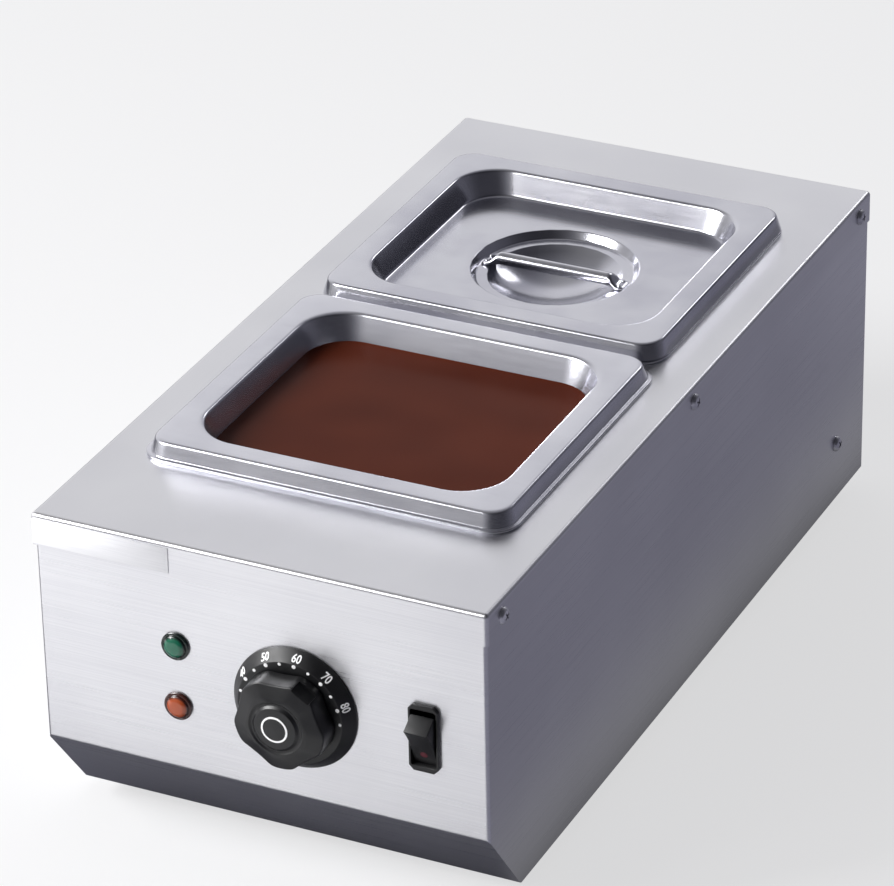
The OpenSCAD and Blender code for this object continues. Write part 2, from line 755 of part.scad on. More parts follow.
// Cable gland on the back panel: hexagon, sleeve and cap with a bore for the mains cord
module cable_gland() {
    color("black") translate([gland_x, wall_y, gland_z]) rotate([-90, 0, 0]) difference() {
        union() {
            cylinder(r = 20 / sqrt(3), h = 5, $fn = 6);
            translate([0, 0, -11]) cylinder(r = 8, h = 12);
            translate([0, 0, 5]) cylinder(r = 9.2, h = gland_cap * 0.6);
            translate([0, 0, 5 + gland_cap * 0.6])
                cylinder(r1 = 9.2, r2 = 6.4, h = gland_cap * 0.4);
            for (a = [0:30:330])
                rotate(a) translate([8.9, 0, 5]) cylinder(r = 1, h = gland_cap * 0.55);
        }
        translate([0, 0, -12]) cylinder(r = gland_bore, h = 60);
    }
}

module gland_nut() {
    color("black") translate([gland_x, wall_y - sheet, gland_z]) rotate([90, 0, 0]) nut(22, 4, 8);
}

// Where a pan's sloping mouth lies at height z: how far in from the rim, and its corner radius
function mouth_in(z) = 18 - (z + 5) * 4.3 / 12.7;
function mouth_r(z) = 20.5 + (z + 5) * 2.8 / 12.7;

// Rings of a pan's round bottom edge: wall inset, corner radius, edge radius and floor height
function bottom_rings(inset, r, edge, z) = [for (a = [0:22.5:90])
    rim(inset + edge * (1 - sin(a)), r - edge * (1 - sin(a)), z + edge * (1 - cos(a)))];

// Inner face of a pan from its floor up to its shoulder
function pan_inside() = concat(bottom_rings(24, 17, 12, rim_h - pan_depth + press_t),
    [rim(19.2, 19.5, -6.6), rim(18, 20.5, -5)]);

// Pressed pan: floor, tapered wall, shoulder, mouth, flat rim, flared skirt and hemmed edge
module pan(g = [0, 0]) {
    t = press_t;
    outside = concat(bottom_rings(24 - t, 17 + t, 12 + t, rim_h - pan_depth),
        [rim(19.2 - t, 19.5 + t, -6.8 - t / 3), rim(18 - t, 20.5 + t, -5 - t / 3)]);
    skirt = [rim(14.5 - t, 24, rim_h - t - 0.9), rim(13.4 - t, 24.6, rim_h - t),
        rim(5 + t / 2, 9, rim_h - t, g), rim(4 + t, 10, rim_h - t - 0.6, g),
        rim(1.9 + t, 10.6, 1.6, g), rim(1.9 + t, 10.6, 0, g), rim(0.4, 12.6, 0, g),
        rim(0, 13, 0.4, g), rim(0, 13, 1.2, g), rim(0.4, 12.6, 1.6, g), rim(1.8, 11.6, 1.6, g),
        rim(3.8, 10.2, rim_h - 0.7, g), rim(4.6, 9.4, rim_h, g)];
    mouth = [rim(13, 24, rim_h), rim(13.7, mouth_r(7.7), rim_h - 0.9)];
    inside = pan_inside();
    loft(concat(outside, skirt, mouth, [for (k = [len(inside) - 1:-1:0]) inside[k]]));
}

module front_pan() {
    color("silver") translate([0, pan_y[0], deck_z]) pan(front_grow);
}

module rear_pan() {
    color("silver") translate([0, pan_y[1], deck_z]) pan();
}

// Chocolate that fills the front pan up to its mouth
module melted_chocolate() {
    color("saddlebrown") translate([0, pan_y[0], deck_z])
        loft(concat(pan_inside(), [rim(mouth_in(-fill_drop), mouth_r(-fill_drop), -fill_drop)]));
}

// Round step with a bowl in it, down from z = 0, grown outwards by g
module bowl(g) {
    ball = (pow(bowl_r, 2) + pow(bowl_drop, 2)) / (2 * bowl_drop);
    translate([0, 0, -step_drop - g])
        cylinder(r1 = ledge_r + g * 0.7, r2 = step_r + g * 0.7, h = step_drop + g);
    intersection() {
        translate([0, 0, -step_drop - bowl_drop + ball]) sphere(r = ball + g, $fn = 128);
        translate([0, 0, -2 * bowl_drop - step_drop + eps])
            cylinder(r = bowl_r + 2 * g, h = 2 * bowl_drop);
    }
}

// Pressed lid: flared skirt, flat band, sloping dish, sunk panel and a bowl under the handle
module rear_lid() {
    t = press_t;
    top = rim_h + t;
    low = -panel_drop;
    under = [rim(20.6 - t, 19.2, low - t), rim(19.3 - t, 20.4, low - t + 0.8),
        rim(15.2 - t, 23, top - t - 0.9), rim(14.6 - t, 23.6, top - t),
        rim(3.6 + t, 9.4, top - t), rim(2.5 + t, 10.2, top - t - 0.5), rim(0.2 + t, 11.8, 2)];
    over = [rim(0.2, 12.8, 2), rim(2.3, 10.7, top - 0.7), rim(3.1, 9.9, top),
        rim(14.3, 23, top), rim(14.9, 22.4, top - 0.9), rim(19, 20, low + 0.8), rim(20.2, 19, low)];
    color("gainsboro") translate([0, pan_y[1], deck_z]) difference() {
        union() {
            loft(concat(under, over));
            translate([0, 0, low]) bowl(t);
        }
        translate([0, 0, low]) bowl(0);
        translate([0, 0, low - eps]) cylinder(r = step_r - 0.02, h = 1);
    }
}

// Round bar across the bowl with flattened ends welded to the ledge
module lid_handle() {
    ledge = -panel_drop - step_drop;
    rod_r = 3.2;
    rod_z = ledge + rod_r;
    color("silver") translate([0, pan_y[1], deck_z]) {
        translate([0, 0, rod_z]) rotate([0, 90, 0]) cylinder(r = rod_r, h = 56, center = true);
        for (s = [-1, 1]) hull() {
            translate([s * 27.9, 0, rod_z]) rotate([0, s * 90, 0])
                cylinder(r = rod_r, h = 0.1, $fn = 32);
            translate([s * 34.9 - 2, -4.6, ledge]) cube([4, 9.2, 1.8]);
        }
    }
}

body_shell();
top_cover();
back_panel();
base_plate();
cover_screws();
back_panel_screws();
base_screws();
feet();
foot_screws();
well_tank();
heating_element();
element_nuts();
element_clips();
thermostat_body();
thermostat_screws();
thermostat_bulb();
capillary_tube();
bulb_clip();
wiring_loom();
dial_plate();
thermostat_shaft();
temperature_knob();
switch_housing();
switch_terminals();
switch_rocker();
green_lens();
amber_lens();
lamp_bodies();
lamp_nuts();
thermal_cutout();
cutout_screws();
terminal_block();
terminal_screws();
earth_screw();
cable_gland();
gland_nut();
front_pan();
melted_chocolate();
rear_pan();
rear_lid();
lid_handle();
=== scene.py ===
"""Two-pan electric chocolate melting pot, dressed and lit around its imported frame."""

import logging
import math
from collections.abc import Iterator, Sequence
from contextlib import contextmanager
from dataclasses import dataclass, field
from enum import Enum

import bmesh
import bpy
from mathutils import Matrix, Vector, noise


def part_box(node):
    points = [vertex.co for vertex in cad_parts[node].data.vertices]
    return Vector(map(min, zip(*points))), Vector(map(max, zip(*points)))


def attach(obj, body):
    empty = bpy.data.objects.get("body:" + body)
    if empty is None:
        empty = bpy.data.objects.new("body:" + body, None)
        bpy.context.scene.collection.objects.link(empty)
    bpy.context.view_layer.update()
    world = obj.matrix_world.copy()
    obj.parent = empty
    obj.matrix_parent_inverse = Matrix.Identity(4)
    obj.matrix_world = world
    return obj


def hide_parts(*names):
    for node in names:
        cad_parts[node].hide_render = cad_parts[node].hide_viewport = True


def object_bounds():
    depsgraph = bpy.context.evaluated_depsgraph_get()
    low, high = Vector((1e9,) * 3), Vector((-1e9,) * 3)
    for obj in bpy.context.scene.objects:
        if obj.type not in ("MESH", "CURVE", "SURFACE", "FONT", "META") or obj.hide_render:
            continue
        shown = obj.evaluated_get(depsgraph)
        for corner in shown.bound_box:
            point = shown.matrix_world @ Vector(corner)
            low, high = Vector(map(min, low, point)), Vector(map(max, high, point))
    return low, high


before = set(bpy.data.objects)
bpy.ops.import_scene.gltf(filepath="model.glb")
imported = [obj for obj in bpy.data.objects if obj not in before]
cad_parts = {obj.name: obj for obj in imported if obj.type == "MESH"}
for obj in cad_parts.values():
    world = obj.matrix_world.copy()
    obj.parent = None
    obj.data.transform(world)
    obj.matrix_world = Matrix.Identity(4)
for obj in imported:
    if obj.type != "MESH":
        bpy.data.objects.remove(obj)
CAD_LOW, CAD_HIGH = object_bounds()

log = logging.getLogger("melting_pot")
logging.basicConfig(level=logging.INFO, format="%(name)s: %(message)s")

MM = 0.001
Ring = list[Vector]
Piece = bpy.types.Object
Tree = bpy.types.NodeTree
Node = bpy.types.Node
Socket = bpy.types.NodeSocket
Material = bpy.types.Material


class Body(Enum):
    """Bodies of the frame that pieces ride on."""

    HOUSING = "housing"
    KNOB = "knob"
    ROCKER = "rocker"
    FRONT_PAN = "front_pan"
    REAR_PAN = "rear_pan"
    LID = "lid"


class Axis(Enum):
    """Direction in which a sheet's grooves spread its reflections."""

    X = 0
    Y = 1
    Z = 2


def deselect() -> None:
    """Leave object mode with nothing selected."""
    if bpy.context.object and bpy.context.object.mode != "OBJECT":
        bpy.ops.object.mode_set(mode="OBJECT")
    bpy.ops.object.select_all(action="DESELECT")


def pick(piece: Piece) -> None:
    """Select one piece alone and make it active."""
    deselect()
    piece.select_set(True)
    bpy.context.view_layer.objects.active = piece


@contextmanager
def editing(piece: Piece) -> Iterator[None]:
    """Hold one piece in edit mode with vertices as the selection mode."""
    pick(piece)
    bpy.ops.object.mode_set(mode="EDIT")
    bpy.ops.mesh.select_mode(type="VERT")
    try:
        yield
    finally:
        bpy.ops.object.mode_set(mode="OBJECT")


def loft(name: str, rings: Sequence[Ring], closed: bool = True) -> Piece:
    """Extrude a circle from ring to ring, each time shaped to the next ring's points.

    Args:
        name: Name of the piece.
        rings: Rings of equal numbers of points, in metres.
        closed: Close both ends with a face. Without it they stay open.

    Returns:
        The mesh object, with its normals outwards.
    """
    count = len(rings[0])
    deselect()
    bpy.ops.mesh.primitive_circle_add(vertices=count, radius=1.0)
    piece = bpy.context.object
    piece.name = piece.data.name = name
    slots = piece.data.attributes.new("slot", "INT", "POINT")
    slots.data.foreach_set("value", range(count))
    for vertex, spot in zip(piece.data.vertices, rings[0]):
        vertex.co = spot
    with editing(piece):
        bpy.ops.mesh.select_all(action="SELECT")
        for ring in rings[1:]:
            bpy.ops.mesh.extrude_edges_move()
            mesh = bmesh.from_edit_mesh(piece.data)
            layer = mesh.verts.layers.int["slot"]
            for vertex in mesh.verts:
                if vertex.select:
                    vertex.co = ring[vertex[layer]]
            bmesh.update_edit_mesh(piece.data)
        if closed:
            bpy.ops.mesh.select_mode(type="EDGE")
            bpy.ops.mesh.select_all(action="DESELECT")
            mesh = bmesh.from_edit_mesh(piece.data)
            for edge in mesh.edges:
                edge.select = edge.is_boundary
            bmesh.update_edit_mesh(piece.data)
            bpy.ops.mesh.edge_face_add()
        bpy.ops.mesh.select_all(action="SELECT")
        bpy.ops.mesh.normals_make_consistent(inside=False)
    piece.data.attributes.remove(piece.data.attributes["slot"])
    return piece


def apply_modifier(piece: Piece, kind: str, **settings: object) -> None:
    """Add a modifier, set it and apply it.

    Args:
        piece: The mesh object.
        kind: Type of the modifier.
        settings: Its settings by name.
    """
    pick(piece)
    modifier = piece.modifiers.new(kind.lower(), kind)
    for key, value in settings.items():
        setattr(modifier, key, value)
    bpy.ops.object.modifier_apply(modifier=modifier.name)


def bevel(piece: Piece, width: float, segments: int = 3, angle: float = 30.0) -> None:
    """Round the edges that turn by more than an angle.

    Args:
        piece: The mesh object.
        width: Width of the bevel in millimetres.
        segments: Facets across it.
        angle: Least turn of an edge that is rounded, in degrees.
    """
    apply_modifier(piece, "BEVEL", width=width * MM, segments=segments, limit_method="ANGLE",
                   angle_limit=math.radians(angle), harden_normals=False)


def cut(piece: Piece, cutter: Piece) -> None:
    """Take a cutter's shape out of a piece and delete the cutter."""
    apply_modifier(piece, "BOOLEAN", operation="DIFFERENCE", solver="EXACT", object=cutter)
    bpy.data.objects.remove(cutter)


def join(name: str, parts: Sequence[Piece]) -> Piece:
    """Join separate solids into one piece.

    Args:
        name: Name of the joined piece.
        parts: The mesh objects.

    Returns:
        The joined object.
    """
    deselect()
    for part in parts:
        part.select_set(True)
    bpy.context.view_layer.objects.active = parts[0]
    bpy.ops.object.join()
    piece = bpy.context.object
    piece.name = piece.data.name = name
    return piece


def move(piece: Piece, matrix: Matrix) -> Piece:
    """Carry a piece's mesh by a matrix, with its object left at the origin."""
    piece.data.transform(matrix)
    piece.data.update()
    return piece


def copy_of(piece: Piece, matrix: Matrix) -> Piece:
    """Copy a piece with its own mesh and carry the copy by a matrix."""
    twin = piece.copy()
    twin.data = piece.data.copy()
    bpy.context.scene.collection.objects.link(twin)
    return move(twin, matrix)


def add_object(name: str, data: bpy.types.ID) -> Piece:
    """Add an object that shows a camera's or a light's data."""
    thing = bpy.data.objects.new(name, data)
    bpy.context.scene.collection.objects.link(thing)
    return thing


def point(x: float, y: float, z: float) -> Vector:
    """Point given in millimetres."""
    return Vector((x, y, z)) * MM


def shift(x: float, y: float, z: float) -> Matrix:
    """Matrix that moves by millimetres."""
    return Matrix.Translation(point(x, y, z))


def rotation(degrees: float, axis: str) -> Matrix:
    """Matrix that turns about an axis."""
    return Matrix.Rotation(math.radians(degrees), 4, axis)


def on_front(x: float, z: float, turn: float = 0.0) -> Matrix:
    """Matrix that stands a piece's local Z out of the front wall.

    Args:
        x: Place across the wall in millimetres.
        z: Height in millimetres.
        turn: Clockwise turn seen from the front, in degrees.

    Returns:
        The matrix.
    """
    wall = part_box("body_shell")[0].y
    return shift(x, wall / MM, z) @ rotation(90, "X") @ rotation(-turn, "Z")


def on_side(side: int, y: float, z: float, face: float) -> Matrix:
    """Matrix that stands a piece's local Z out of a side face, where side is -1 or 1."""
    return shift(side * face, y, z) @ rotation(90 * side, "Y")


def outline_ring(outline: Sequence[tuple[float, float]], z: float) -> Ring:
    """Ring of an outline at a height, with sizes in millimetres."""
    return [point(x, y, z) for x, y in outline]


def circle_ring(radius: float, z: float, count: int) -> Ring:
    """Points of a circle about the Z axis, with sizes in millimetres."""
    step = 2 * math.pi / count
    return [point(radius * math.cos(step * k), radius * math.sin(step * k), z) for k in range(count)]


def turned(name: str, profile: Sequence[tuple[float, float]], count: int = 64,
           closed: bool = True) -> Piece:
    """Turn a profile of radius and height, in millimetres, about the Z axis.

    Args:
        name: Name of the piece.
        profile: Points as radius and height.
        count: Sides of the turned form.
        closed: Close both ends, as in loft.

    Returns:
        The mesh object.
    """
    return loft(name, [circle_ring(r, z, count) for r, z in profile], closed)


def box(size: tuple[float, float, float], matrix: Matrix) -> Piece:
    """Add a cutter with sides in millimetres, carried by a matrix."""
    deselect()
    bpy.ops.mesh.primitive_cube_add(size=1.0)
    return move(bpy.context.object, matrix @ Matrix.Diagonal((*(s * MM for s in size), 1.0)))


def round_path(points: Sequence[tuple[float, ...]], bends: Sequence[float],
               steps: int = 5) -> list[tuple[float, ...]]:
    """Round the corners of an open path.

    Args:
        points: Points whose first two numbers are the path; the others follow them.
        bends: Radius at each point, where 0 keeps the corner.
        steps: Steps round each corner.

    Returns:
        The points of the rounded path.
    """
    path = [tuple(points[0])]
    for k in range(1, len(points) - 1):
        here = Vector(points[k])
        before, after = Vector(points[k - 1]) - here, Vector(points[k + 1]) - here
        flat_before, flat_after = Vector(before[:2]), Vector(after[:2])
        angle = flat_before.angle(flat_after)
        if bends[k] <= 0 or angle > math.radians(178):
            path.append(tuple(here))
            continue
        reach = bends[k] / math.tan(angle / 2)
        start = here + before * min(0.48, reach / flat_before.length)
        end = here + after * min(0.48, reach / flat_after.length)
        for i in range(steps + 1):
            t = i / steps
            path.append(tuple(start * (1 - t) ** 2 + here * (2 * t * (1 - t)) + end * t**2))
    path.append(tuple(points[-1]))
    return path


def srgb(code: str) -> tuple[float, float, float, float]:
    """Turn an sRGB hex colour into linear red, green, blue and alpha."""
    parts = [int(code[i : i + 2], 16) / 255 for i in (1, 3, 5)]
    linear = [c / 12.92 if c <= 0.04045 else ((c + 0.055) / 1.055) ** 2.4 for c in parts]
    return (*linear, 1.0)


def feed(tree: Tree, node: Node, **inputs: object) -> None:
    """Set or link the sockets of a node.

    Args:
        tree: The node tree.
        node: The node.
        inputs: Sockets by name, with _ for a space, or by number after an i. A socket is
            linked and a value is set.
    """
    for key, value in inputs.items():
        socket = node.inputs[int(key[1:]) if key[1:].isdigit() else key.replace("_", " ")]
        if isinstance(value, Socket):
            tree.links.new(value, socket)
        else:
            socket.default_value = value


def add_node(tree: Tree, kind: str, settings: dict[str, object] | None = None,
             **inputs: object) -> Node:
    """Add a node with its settings, values and links.

    Args:
        tree: The node tree.
        kind: Type name of the node.
        settings: Properties of the node by name.
        inputs: Sockets, as in feed.

    Returns:
        The node.
    """
    node = tree.nodes.new(kind)
    for key, value in (settings or {}).items():
        setattr(node, key, value)
    feed(tree, node, **inputs)
    return node


def calc(tree: Tree, operation: str, *values: object) -> Socket:
    """Result of a math operation over sockets and numbers."""
    inputs = {f"i{n}": value for n, value in enumerate(values)}
    return add_node(tree, "ShaderNodeMath", {"operation": operation}, **inputs).outputs[0]


def fade(tree: Tree, source: Socket, low: float, high: float,
         start: float = 0.0, end: float = 1.0) -> Socket:
    """Smooth step from start to end while a value goes from low to high."""
    node = add_node(tree, "ShaderNodeMapRange", {"interpolation_type": "SMOOTHSTEP"}, Value=source,
                    From_Min=low, From_Max=high, To_Min=start, To_Max=end)
    return node.outputs[0]


def ramp(tree: Tree, source: Socket, stops: Sequence[tuple[float, str]]) -> Socket:
    """Colour ramp over a factor.

    Args:
        tree: The node tree.
        source: The factor.
        stops: Places and sRGB colours.

    Returns:
        The colour socket.
    """
    node = add_node(tree, "ShaderNodeValToRGB", None, Fac=source)
    elements = node.color_ramp.elements
    while len(elements) < len(stops):
        elements.new(0.5)
    for element, (place, code) in zip(elements, stops):
        element.position = place
        element.color = srgb(code)
    return node.outputs["Color"]


def spread(tree: Tree, source: Socket, low: float, high: float) -> Socket:
    """Map a noise factor from about 0.3..0.7 to low..high."""
    node = add_node(tree, "ShaderNodeMapRange", None, Value=source, From_Min=0.3, From_Max=0.7,
                    To_Min=low, To_Max=high)
    return node.outputs["Result"]


def new_material(name: str) -> tuple[Material, Tree, Node]:
    """Make a material with a bare Principled shader, and return it with its tree and shader."""
    material = bpy.data.materials.new(name)
    material.use_nodes = True
    tree = material.node_tree
    tree.nodes.clear()
    shader = tree.nodes.new("ShaderNodeBsdfPrincipled")
    add_node(tree, "ShaderNodeOutputMaterial", None, Surface=shader.outputs["BSDF"])
    return material, tree, shader


def object_noise(tree: Tree, size_mm: tuple[float, float, float], detail: float = 2.0) -> Socket:
    """Noise whose grains have a real size along X, Y and Z, in millimetres."""
    coords = add_node(tree, "ShaderNodeTexCoord")
    mapping = add_node(tree, "ShaderNodeMapping", None, Vector=coords.outputs["Object"],
                       Scale=tuple(1 / (s * MM) for s in size_mm))
    grain = add_node(tree, "ShaderNodeTexNoise", None, Vector=mapping.outputs["Vector"],
                     Scale=1.0, Detail=detail)
    return grain.outputs["Fac"]


def relief(tree: Tree, height: Socket, strength: float, deep_mm: float) -> Socket:
    """Normal of a fine relief, with its full depth in millimetres."""
    node = add_node(tree, "ShaderNodeBump", None, Height=height, Strength=strength,
                    Distance=deep_mm * MM)
    return node.outputs["Normal"]


@dataclass(frozen=True)
class Finish:
    """A named finish that builds its own material."""

    name: str

    def make(self) -> Material:
        """Build the material round a Principled shader."""
        material, tree, shader = new_material(self.name)
        self.wire(tree, shader)
        return material

    def wire(self, tree: Tree, shader: Node) -> None:
        """Add the textures and set the shader."""
        raise NotImplementedError


@dataclass(frozen=True)
class SheetSteel(Finish):
    """Stainless sheet: cold rolled, then brushed level, which leaves long fine lines on its walls."""

    light: str = "#e9e9ec"
    dark: str = "#dedee2"
    roughness: float = 0.3
    stretch: Axis = Axis.Z
    line_mm: tuple[float, float, float] = (90.0, 90.0, 0.3)
    cloud_mm: tuple[float, float, float] = (70.0, 70.0, 70.0)
    stroke: float = 0.6

    def wire(self, tree: Tree, shader: Node) -> None:
        """Wire brushed lines over the slow clouding of rolled sheet."""
        lines = object_noise(tree, self.line_mm, 3.0)
        cloud = calc(tree, "MULTIPLY", object_noise(tree, self.cloud_mm, 1.0), 1.0 - self.stroke)
        tone = calc(tree, "MULTIPLY_ADD", lines, self.stroke, cloud)
        # The brushed grooves spread reflections across their own direction
        way = {axis.name: float(axis is self.stretch) for axis in Axis}
        across = add_node(tree, "ShaderNodeCombineXYZ", None, **way)
        feed(tree, shader, Metallic=1.0, Anisotropic=0.55, Tangent=across.outputs[0],
             Base_Color=ramp(tree, tone, ((0.38, self.dark), (0.6, self.light))),
             Roughness=spread(tree, lines, self.roughness - 0.03, self.roughness + 0.04),
             Normal=relief(tree, lines, 0.02, 0.2))


@dataclass(frozen=True)
class PressedSteel(Finish):
    """Deep-drawn stainless steel: polished bright, with faint wiping marks and a soft haze."""

    light: str = "#dcdce3"
    dark: str = "#d0d0d8"
    roughness: float = 0.2

    def wire(self, tree: Tree, shader: Node) -> None:
        """Wire a haze in its colour and wiping marks in its roughness."""
        haze = object_noise(tree, (35.0, 35.0, 20.0))
        marks = calc(tree, "MULTIPLY_ADD", object_noise(tree, (18.0, 2.0, 2.0), 1.0), 0.4, 0.3)
        feed(tree, shader, Metallic=1.0,
             Base_Color=ramp(tree, haze, ((0.35, self.dark), (0.65, self.light))),
             Roughness=spread(tree, marks, self.roughness - 0.03, self.roughness + 0.04))


@dataclass(frozen=True)
class PlainMetal(Finish):
    """Small turned, drawn or plated metal: an even colour with slight tarnish in patches."""

    light: str
    dark: str
    roughness: float
    patch_mm: float = 6.0

    def wire(self, tree: Tree, shader: Node) -> None:
        """Wire one patchy noise that dulls and darkens together."""
        patch = object_noise(tree, (self.patch_mm,) * 3, 4.0)
        feed(tree, shader, Metallic=1.0,
             Base_Color=ramp(tree, patch, ((0.35, self.dark), (0.6, self.light))),
             Roughness=spread(tree, patch, self.roughness + 0.08, self.roughness - 0.05))


@dataclass(frozen=True)
class Moulded(Finish):
    """Moulded plastic, rubber or print: even colour, with the fine spark texture of its mould."""

    light: str
    dark: str
    roughness: float
    spark_mm: float
    bump: float

    def wire(self, tree: Tree, shader: Node) -> None:
        """Wire a slow tone and a fine relief."""
        spark = object_noise(tree, (self.spark_mm,) * 3)
        tone = object_noise(tree, (9.0, 9.0, 9.0))
        feed(tree, shader, IOR=1.5, Normal=relief(tree, spark, self.bump, 0.1),
             Base_Color=ramp(tree, tone, ((0.35, self.dark), (0.65, self.light))),
             Roughness=spread(tree, tone, self.roughness - 0.04, self.roughness + 0.05))


@dataclass(frozen=True)
class LampLens(Finish):
    """Tinted polycarbonate: glossy, its dome bright and its thick flange nearly opaque."""

    deep: str
    bright: str
    centre: tuple[float, float, float] = (0.0, 0.0, 0.0)
    radius_mm: float = 6.8

    def wire(self, tree: Tree, shader: Node) -> None:
        """Wire the distance to the lamp's axis, which runs along Y."""
        coords = add_node(tree, "ShaderNodeTexCoord")
        size = 1 / (self.radius_mm * MM)
        offset = add_node(tree, "ShaderNodeVectorMath", {"operation": "SUBTRACT"},
                          i0=coords.outputs["Object"], i1=self.centre)
        flat = add_node(tree, "ShaderNodeVectorMath", {"operation": "MULTIPLY"},
                        i0=offset.outputs[0], i1=(size, 0.0, size))
        away = add_node(tree, "ShaderNodeVectorMath", {"operation": "LENGTH"}, i0=flat.outputs[0])
        stops = ((0.0, self.bright), (0.62, self.bright), (0.76, self.deep), (1.0, self.deep))
        feed(tree, shader, Base_Color=ramp(tree, away.outputs["Value"], stops), Roughness=0.14,
             IOR=1.58, Coat_Weight=0.2, Coat_Roughness=0.06)


@dataclass(frozen=True)
class MeltedChocolate(Finish):
    """Melted dark chocolate: even brown under a thin fat film with soft, tinted reflections."""

    light: str = "#572719"
    dark: str = "#4e2114"
    film: str = "#d89a80"

    def wire(self, tree: Tree, shader: Node) -> None:
        """Wire one slow swirl."""
        swirl = object_noise(tree, (60.0, 45.0, 20.0), 1.0)
        feed(tree, shader, IOR=1.46, Specular_IOR_Level=0.05, Specular_Tint=srgb(self.film),
             Base_Color=ramp(tree, swirl, ((0.35, self.dark), (0.65, self.light))),
             Roughness=spread(tree, swirl, 0.2, 0.27), Subsurface_Weight=0.08,
             Subsurface_Radius=(0.004, 0.0016, 0.0008))


def dress(piece: Piece, material: Material) -> None:
    """Give a piece one material."""
    piece.data.materials.clear()
    piece.data.materials.append(material)


@dataclass
class Palette:
    """All finishes of the melting pot, each made once."""

    made: dict[str, Material] = field(default_factory=dict)

    def get(self, finish: Finish) -> Material:
        """Return a finish's material, made on first use."""
        if finish.name not in self.made:
            self.made[finish.name] = finish.make()
        return self.made[finish.name]

    def mount(self, piece: Piece, body: Body, finish: Finish,
              replaces: Sequence[str] = (), smooth: float = 35.0) -> None:
        """Merge, smooth, dress and mount a finished piece.

        Args:
            piece: The mesh object, in place.
            body: Body that it rides on.
            finish: Its finish.
            replaces: Nodes of the frame that it stands for.
            smooth: Edges that turn by less than this many degrees are shaded smooth.
        """
        with editing(piece):
            bpy.ops.mesh.select_all(action="SELECT")
            bpy.ops.mesh.remove_doubles(threshold=1e-6)
            bpy.ops.mesh.normals_make_consistent(inside=False)
        pick(piece)
        bpy.ops.object.shade_smooth_by_angle(angle=math.radians(smooth))
        dress(piece, self.get(finish))
        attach(piece, body.value)
        if replaces:
            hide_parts(*replaces)
        log.info("%s: %d faces, on %s", piece.name, len(piece.data.polygons), body.value)


# Folded housing sheet, brushed across the front
HOUSING_STEEL = SheetSteel("brushed_stainless_housing")
# Deck and skirt: the lines run round the skirt, and the deck has only the slow clouding
DECK_STEEL = SheetSteel("brushed_stainless_deck", roughness=0.33, stretch=Axis.X)
CHOCOLATE = MeltedChocolate("melted_dark_chocolate")
PAN_STEEL = PressedSteel("polished_pressed_pan", roughness=0.24)
# The pans' pressed steel made darker for the lid: painted shade standing in for the lid's dimmer
# reflections
SHADED_LID_STEEL = PressedSteel("polished_pressed_lid", light="#d2d2d9", dark="#c4c4cd", roughness=0.18)
BAR_STEEL = PressedSteel("polished_steel_bar", light="#e2e2e8", roughness=0.16)
LABEL_METAL = SheetSteel("satin_aluminium_label", light="#f2f2f4", dark="#e9e9ec", roughness=0.52,
                         line_mm=(20.0, 20.0, 0.3))
SCREW_STEEL = PlainMetal("nickel_plated_screw", "#eeeef1", "#d8d8de", 0.32)
GALVANISED = PlainMetal("galvanised_sheet", "#b9bcc0", "#9a9ea6", 0.42, 22.0)
WELL_STEEL = PlainMetal("plain_stainless_tank", "#c2c2c8", "#a6a6ae", 0.35, 30.0)
SHEATH = PlainMetal("oxidised_element_sheath", "#5f5a58", "#454040", 0.5, 12.0)
BRASS = PlainMetal("turned_brass", "#c9a352", "#a68240", 0.3)
TINNED = PlainMetal("tinned_brass_blade", "#c9c6bd", "#aeaaa0", 0.34)
COPPER = PlainMetal("drawn_copper_tube", "#c27a54", "#9c5c3e", 0.34)
KNOB_BLACK = Moulded("phenolic_knob_black", "#161618", "#101012", 0.34, 0.5, 0.06)
DIAL_BLACK = Moulded("moulded_dial_black", "#131315", "#0d0d0f", 0.42, 0.4, 0.04)
SWITCH_BLACK = Moulded("glossy_switch_black", "#121214", "#0c0c0e", 0.42, 0.5, 0.03)
PRINT_WHITE = Moulded("white_dial_print", "#ffffff", "#f4f4f4", 0.5, 0.3, 0.05)
PRINT_RED = Moulded("red_switch_print", "#571523", "#450f1b", 0.5, 0.3, 0.05)
RUBBER = Moulded("black_rubber_foot", "#232325", "#19191b", 0.75, 0.6, 0.3)
NYLON = Moulded("black_nylon_gland", "#1e1e20", "#151517", 0.45, 0.5, 0.15)
WIRE_COVER = Moulded("brown_silicone_wire_cover", "#7a3a22", "#632c19", 0.5, 0.5, 0.08)
CERAMIC = Moulded("ivory_terminal_plastic", "#e4dcc6", "#d5ccb4", 0.4, 0.5, 0.08)
SWITCH_BODY = Moulded("black_moulded_body", "#202022", "#171719", 0.5, 0.5, 0.12)


@dataclass(frozen=True)
class SoftBox:
    """Square area light: its place and the side of its square in metres, and its power in watts."""

    name: str
    place: tuple[float, float, float]
    size: float
    watts: float
    aim: tuple[float, float, float] = (0.0, 0.0, 0.1)

    def build(self) -> None:
        """Add the light, turned to the point that it faces."""
        data = bpy.data.lights.new(self.name, "AREA")
        data.size = self.size
        data.energy = self.watts
        light = add_object(self.name, data)
        light.location = self.place
        light.rotation_mode = "QUATERNION"
        light.rotation_quaternion = (Vector(self.place) - Vector(self.aim)).to_track_quat("Z", "Y")


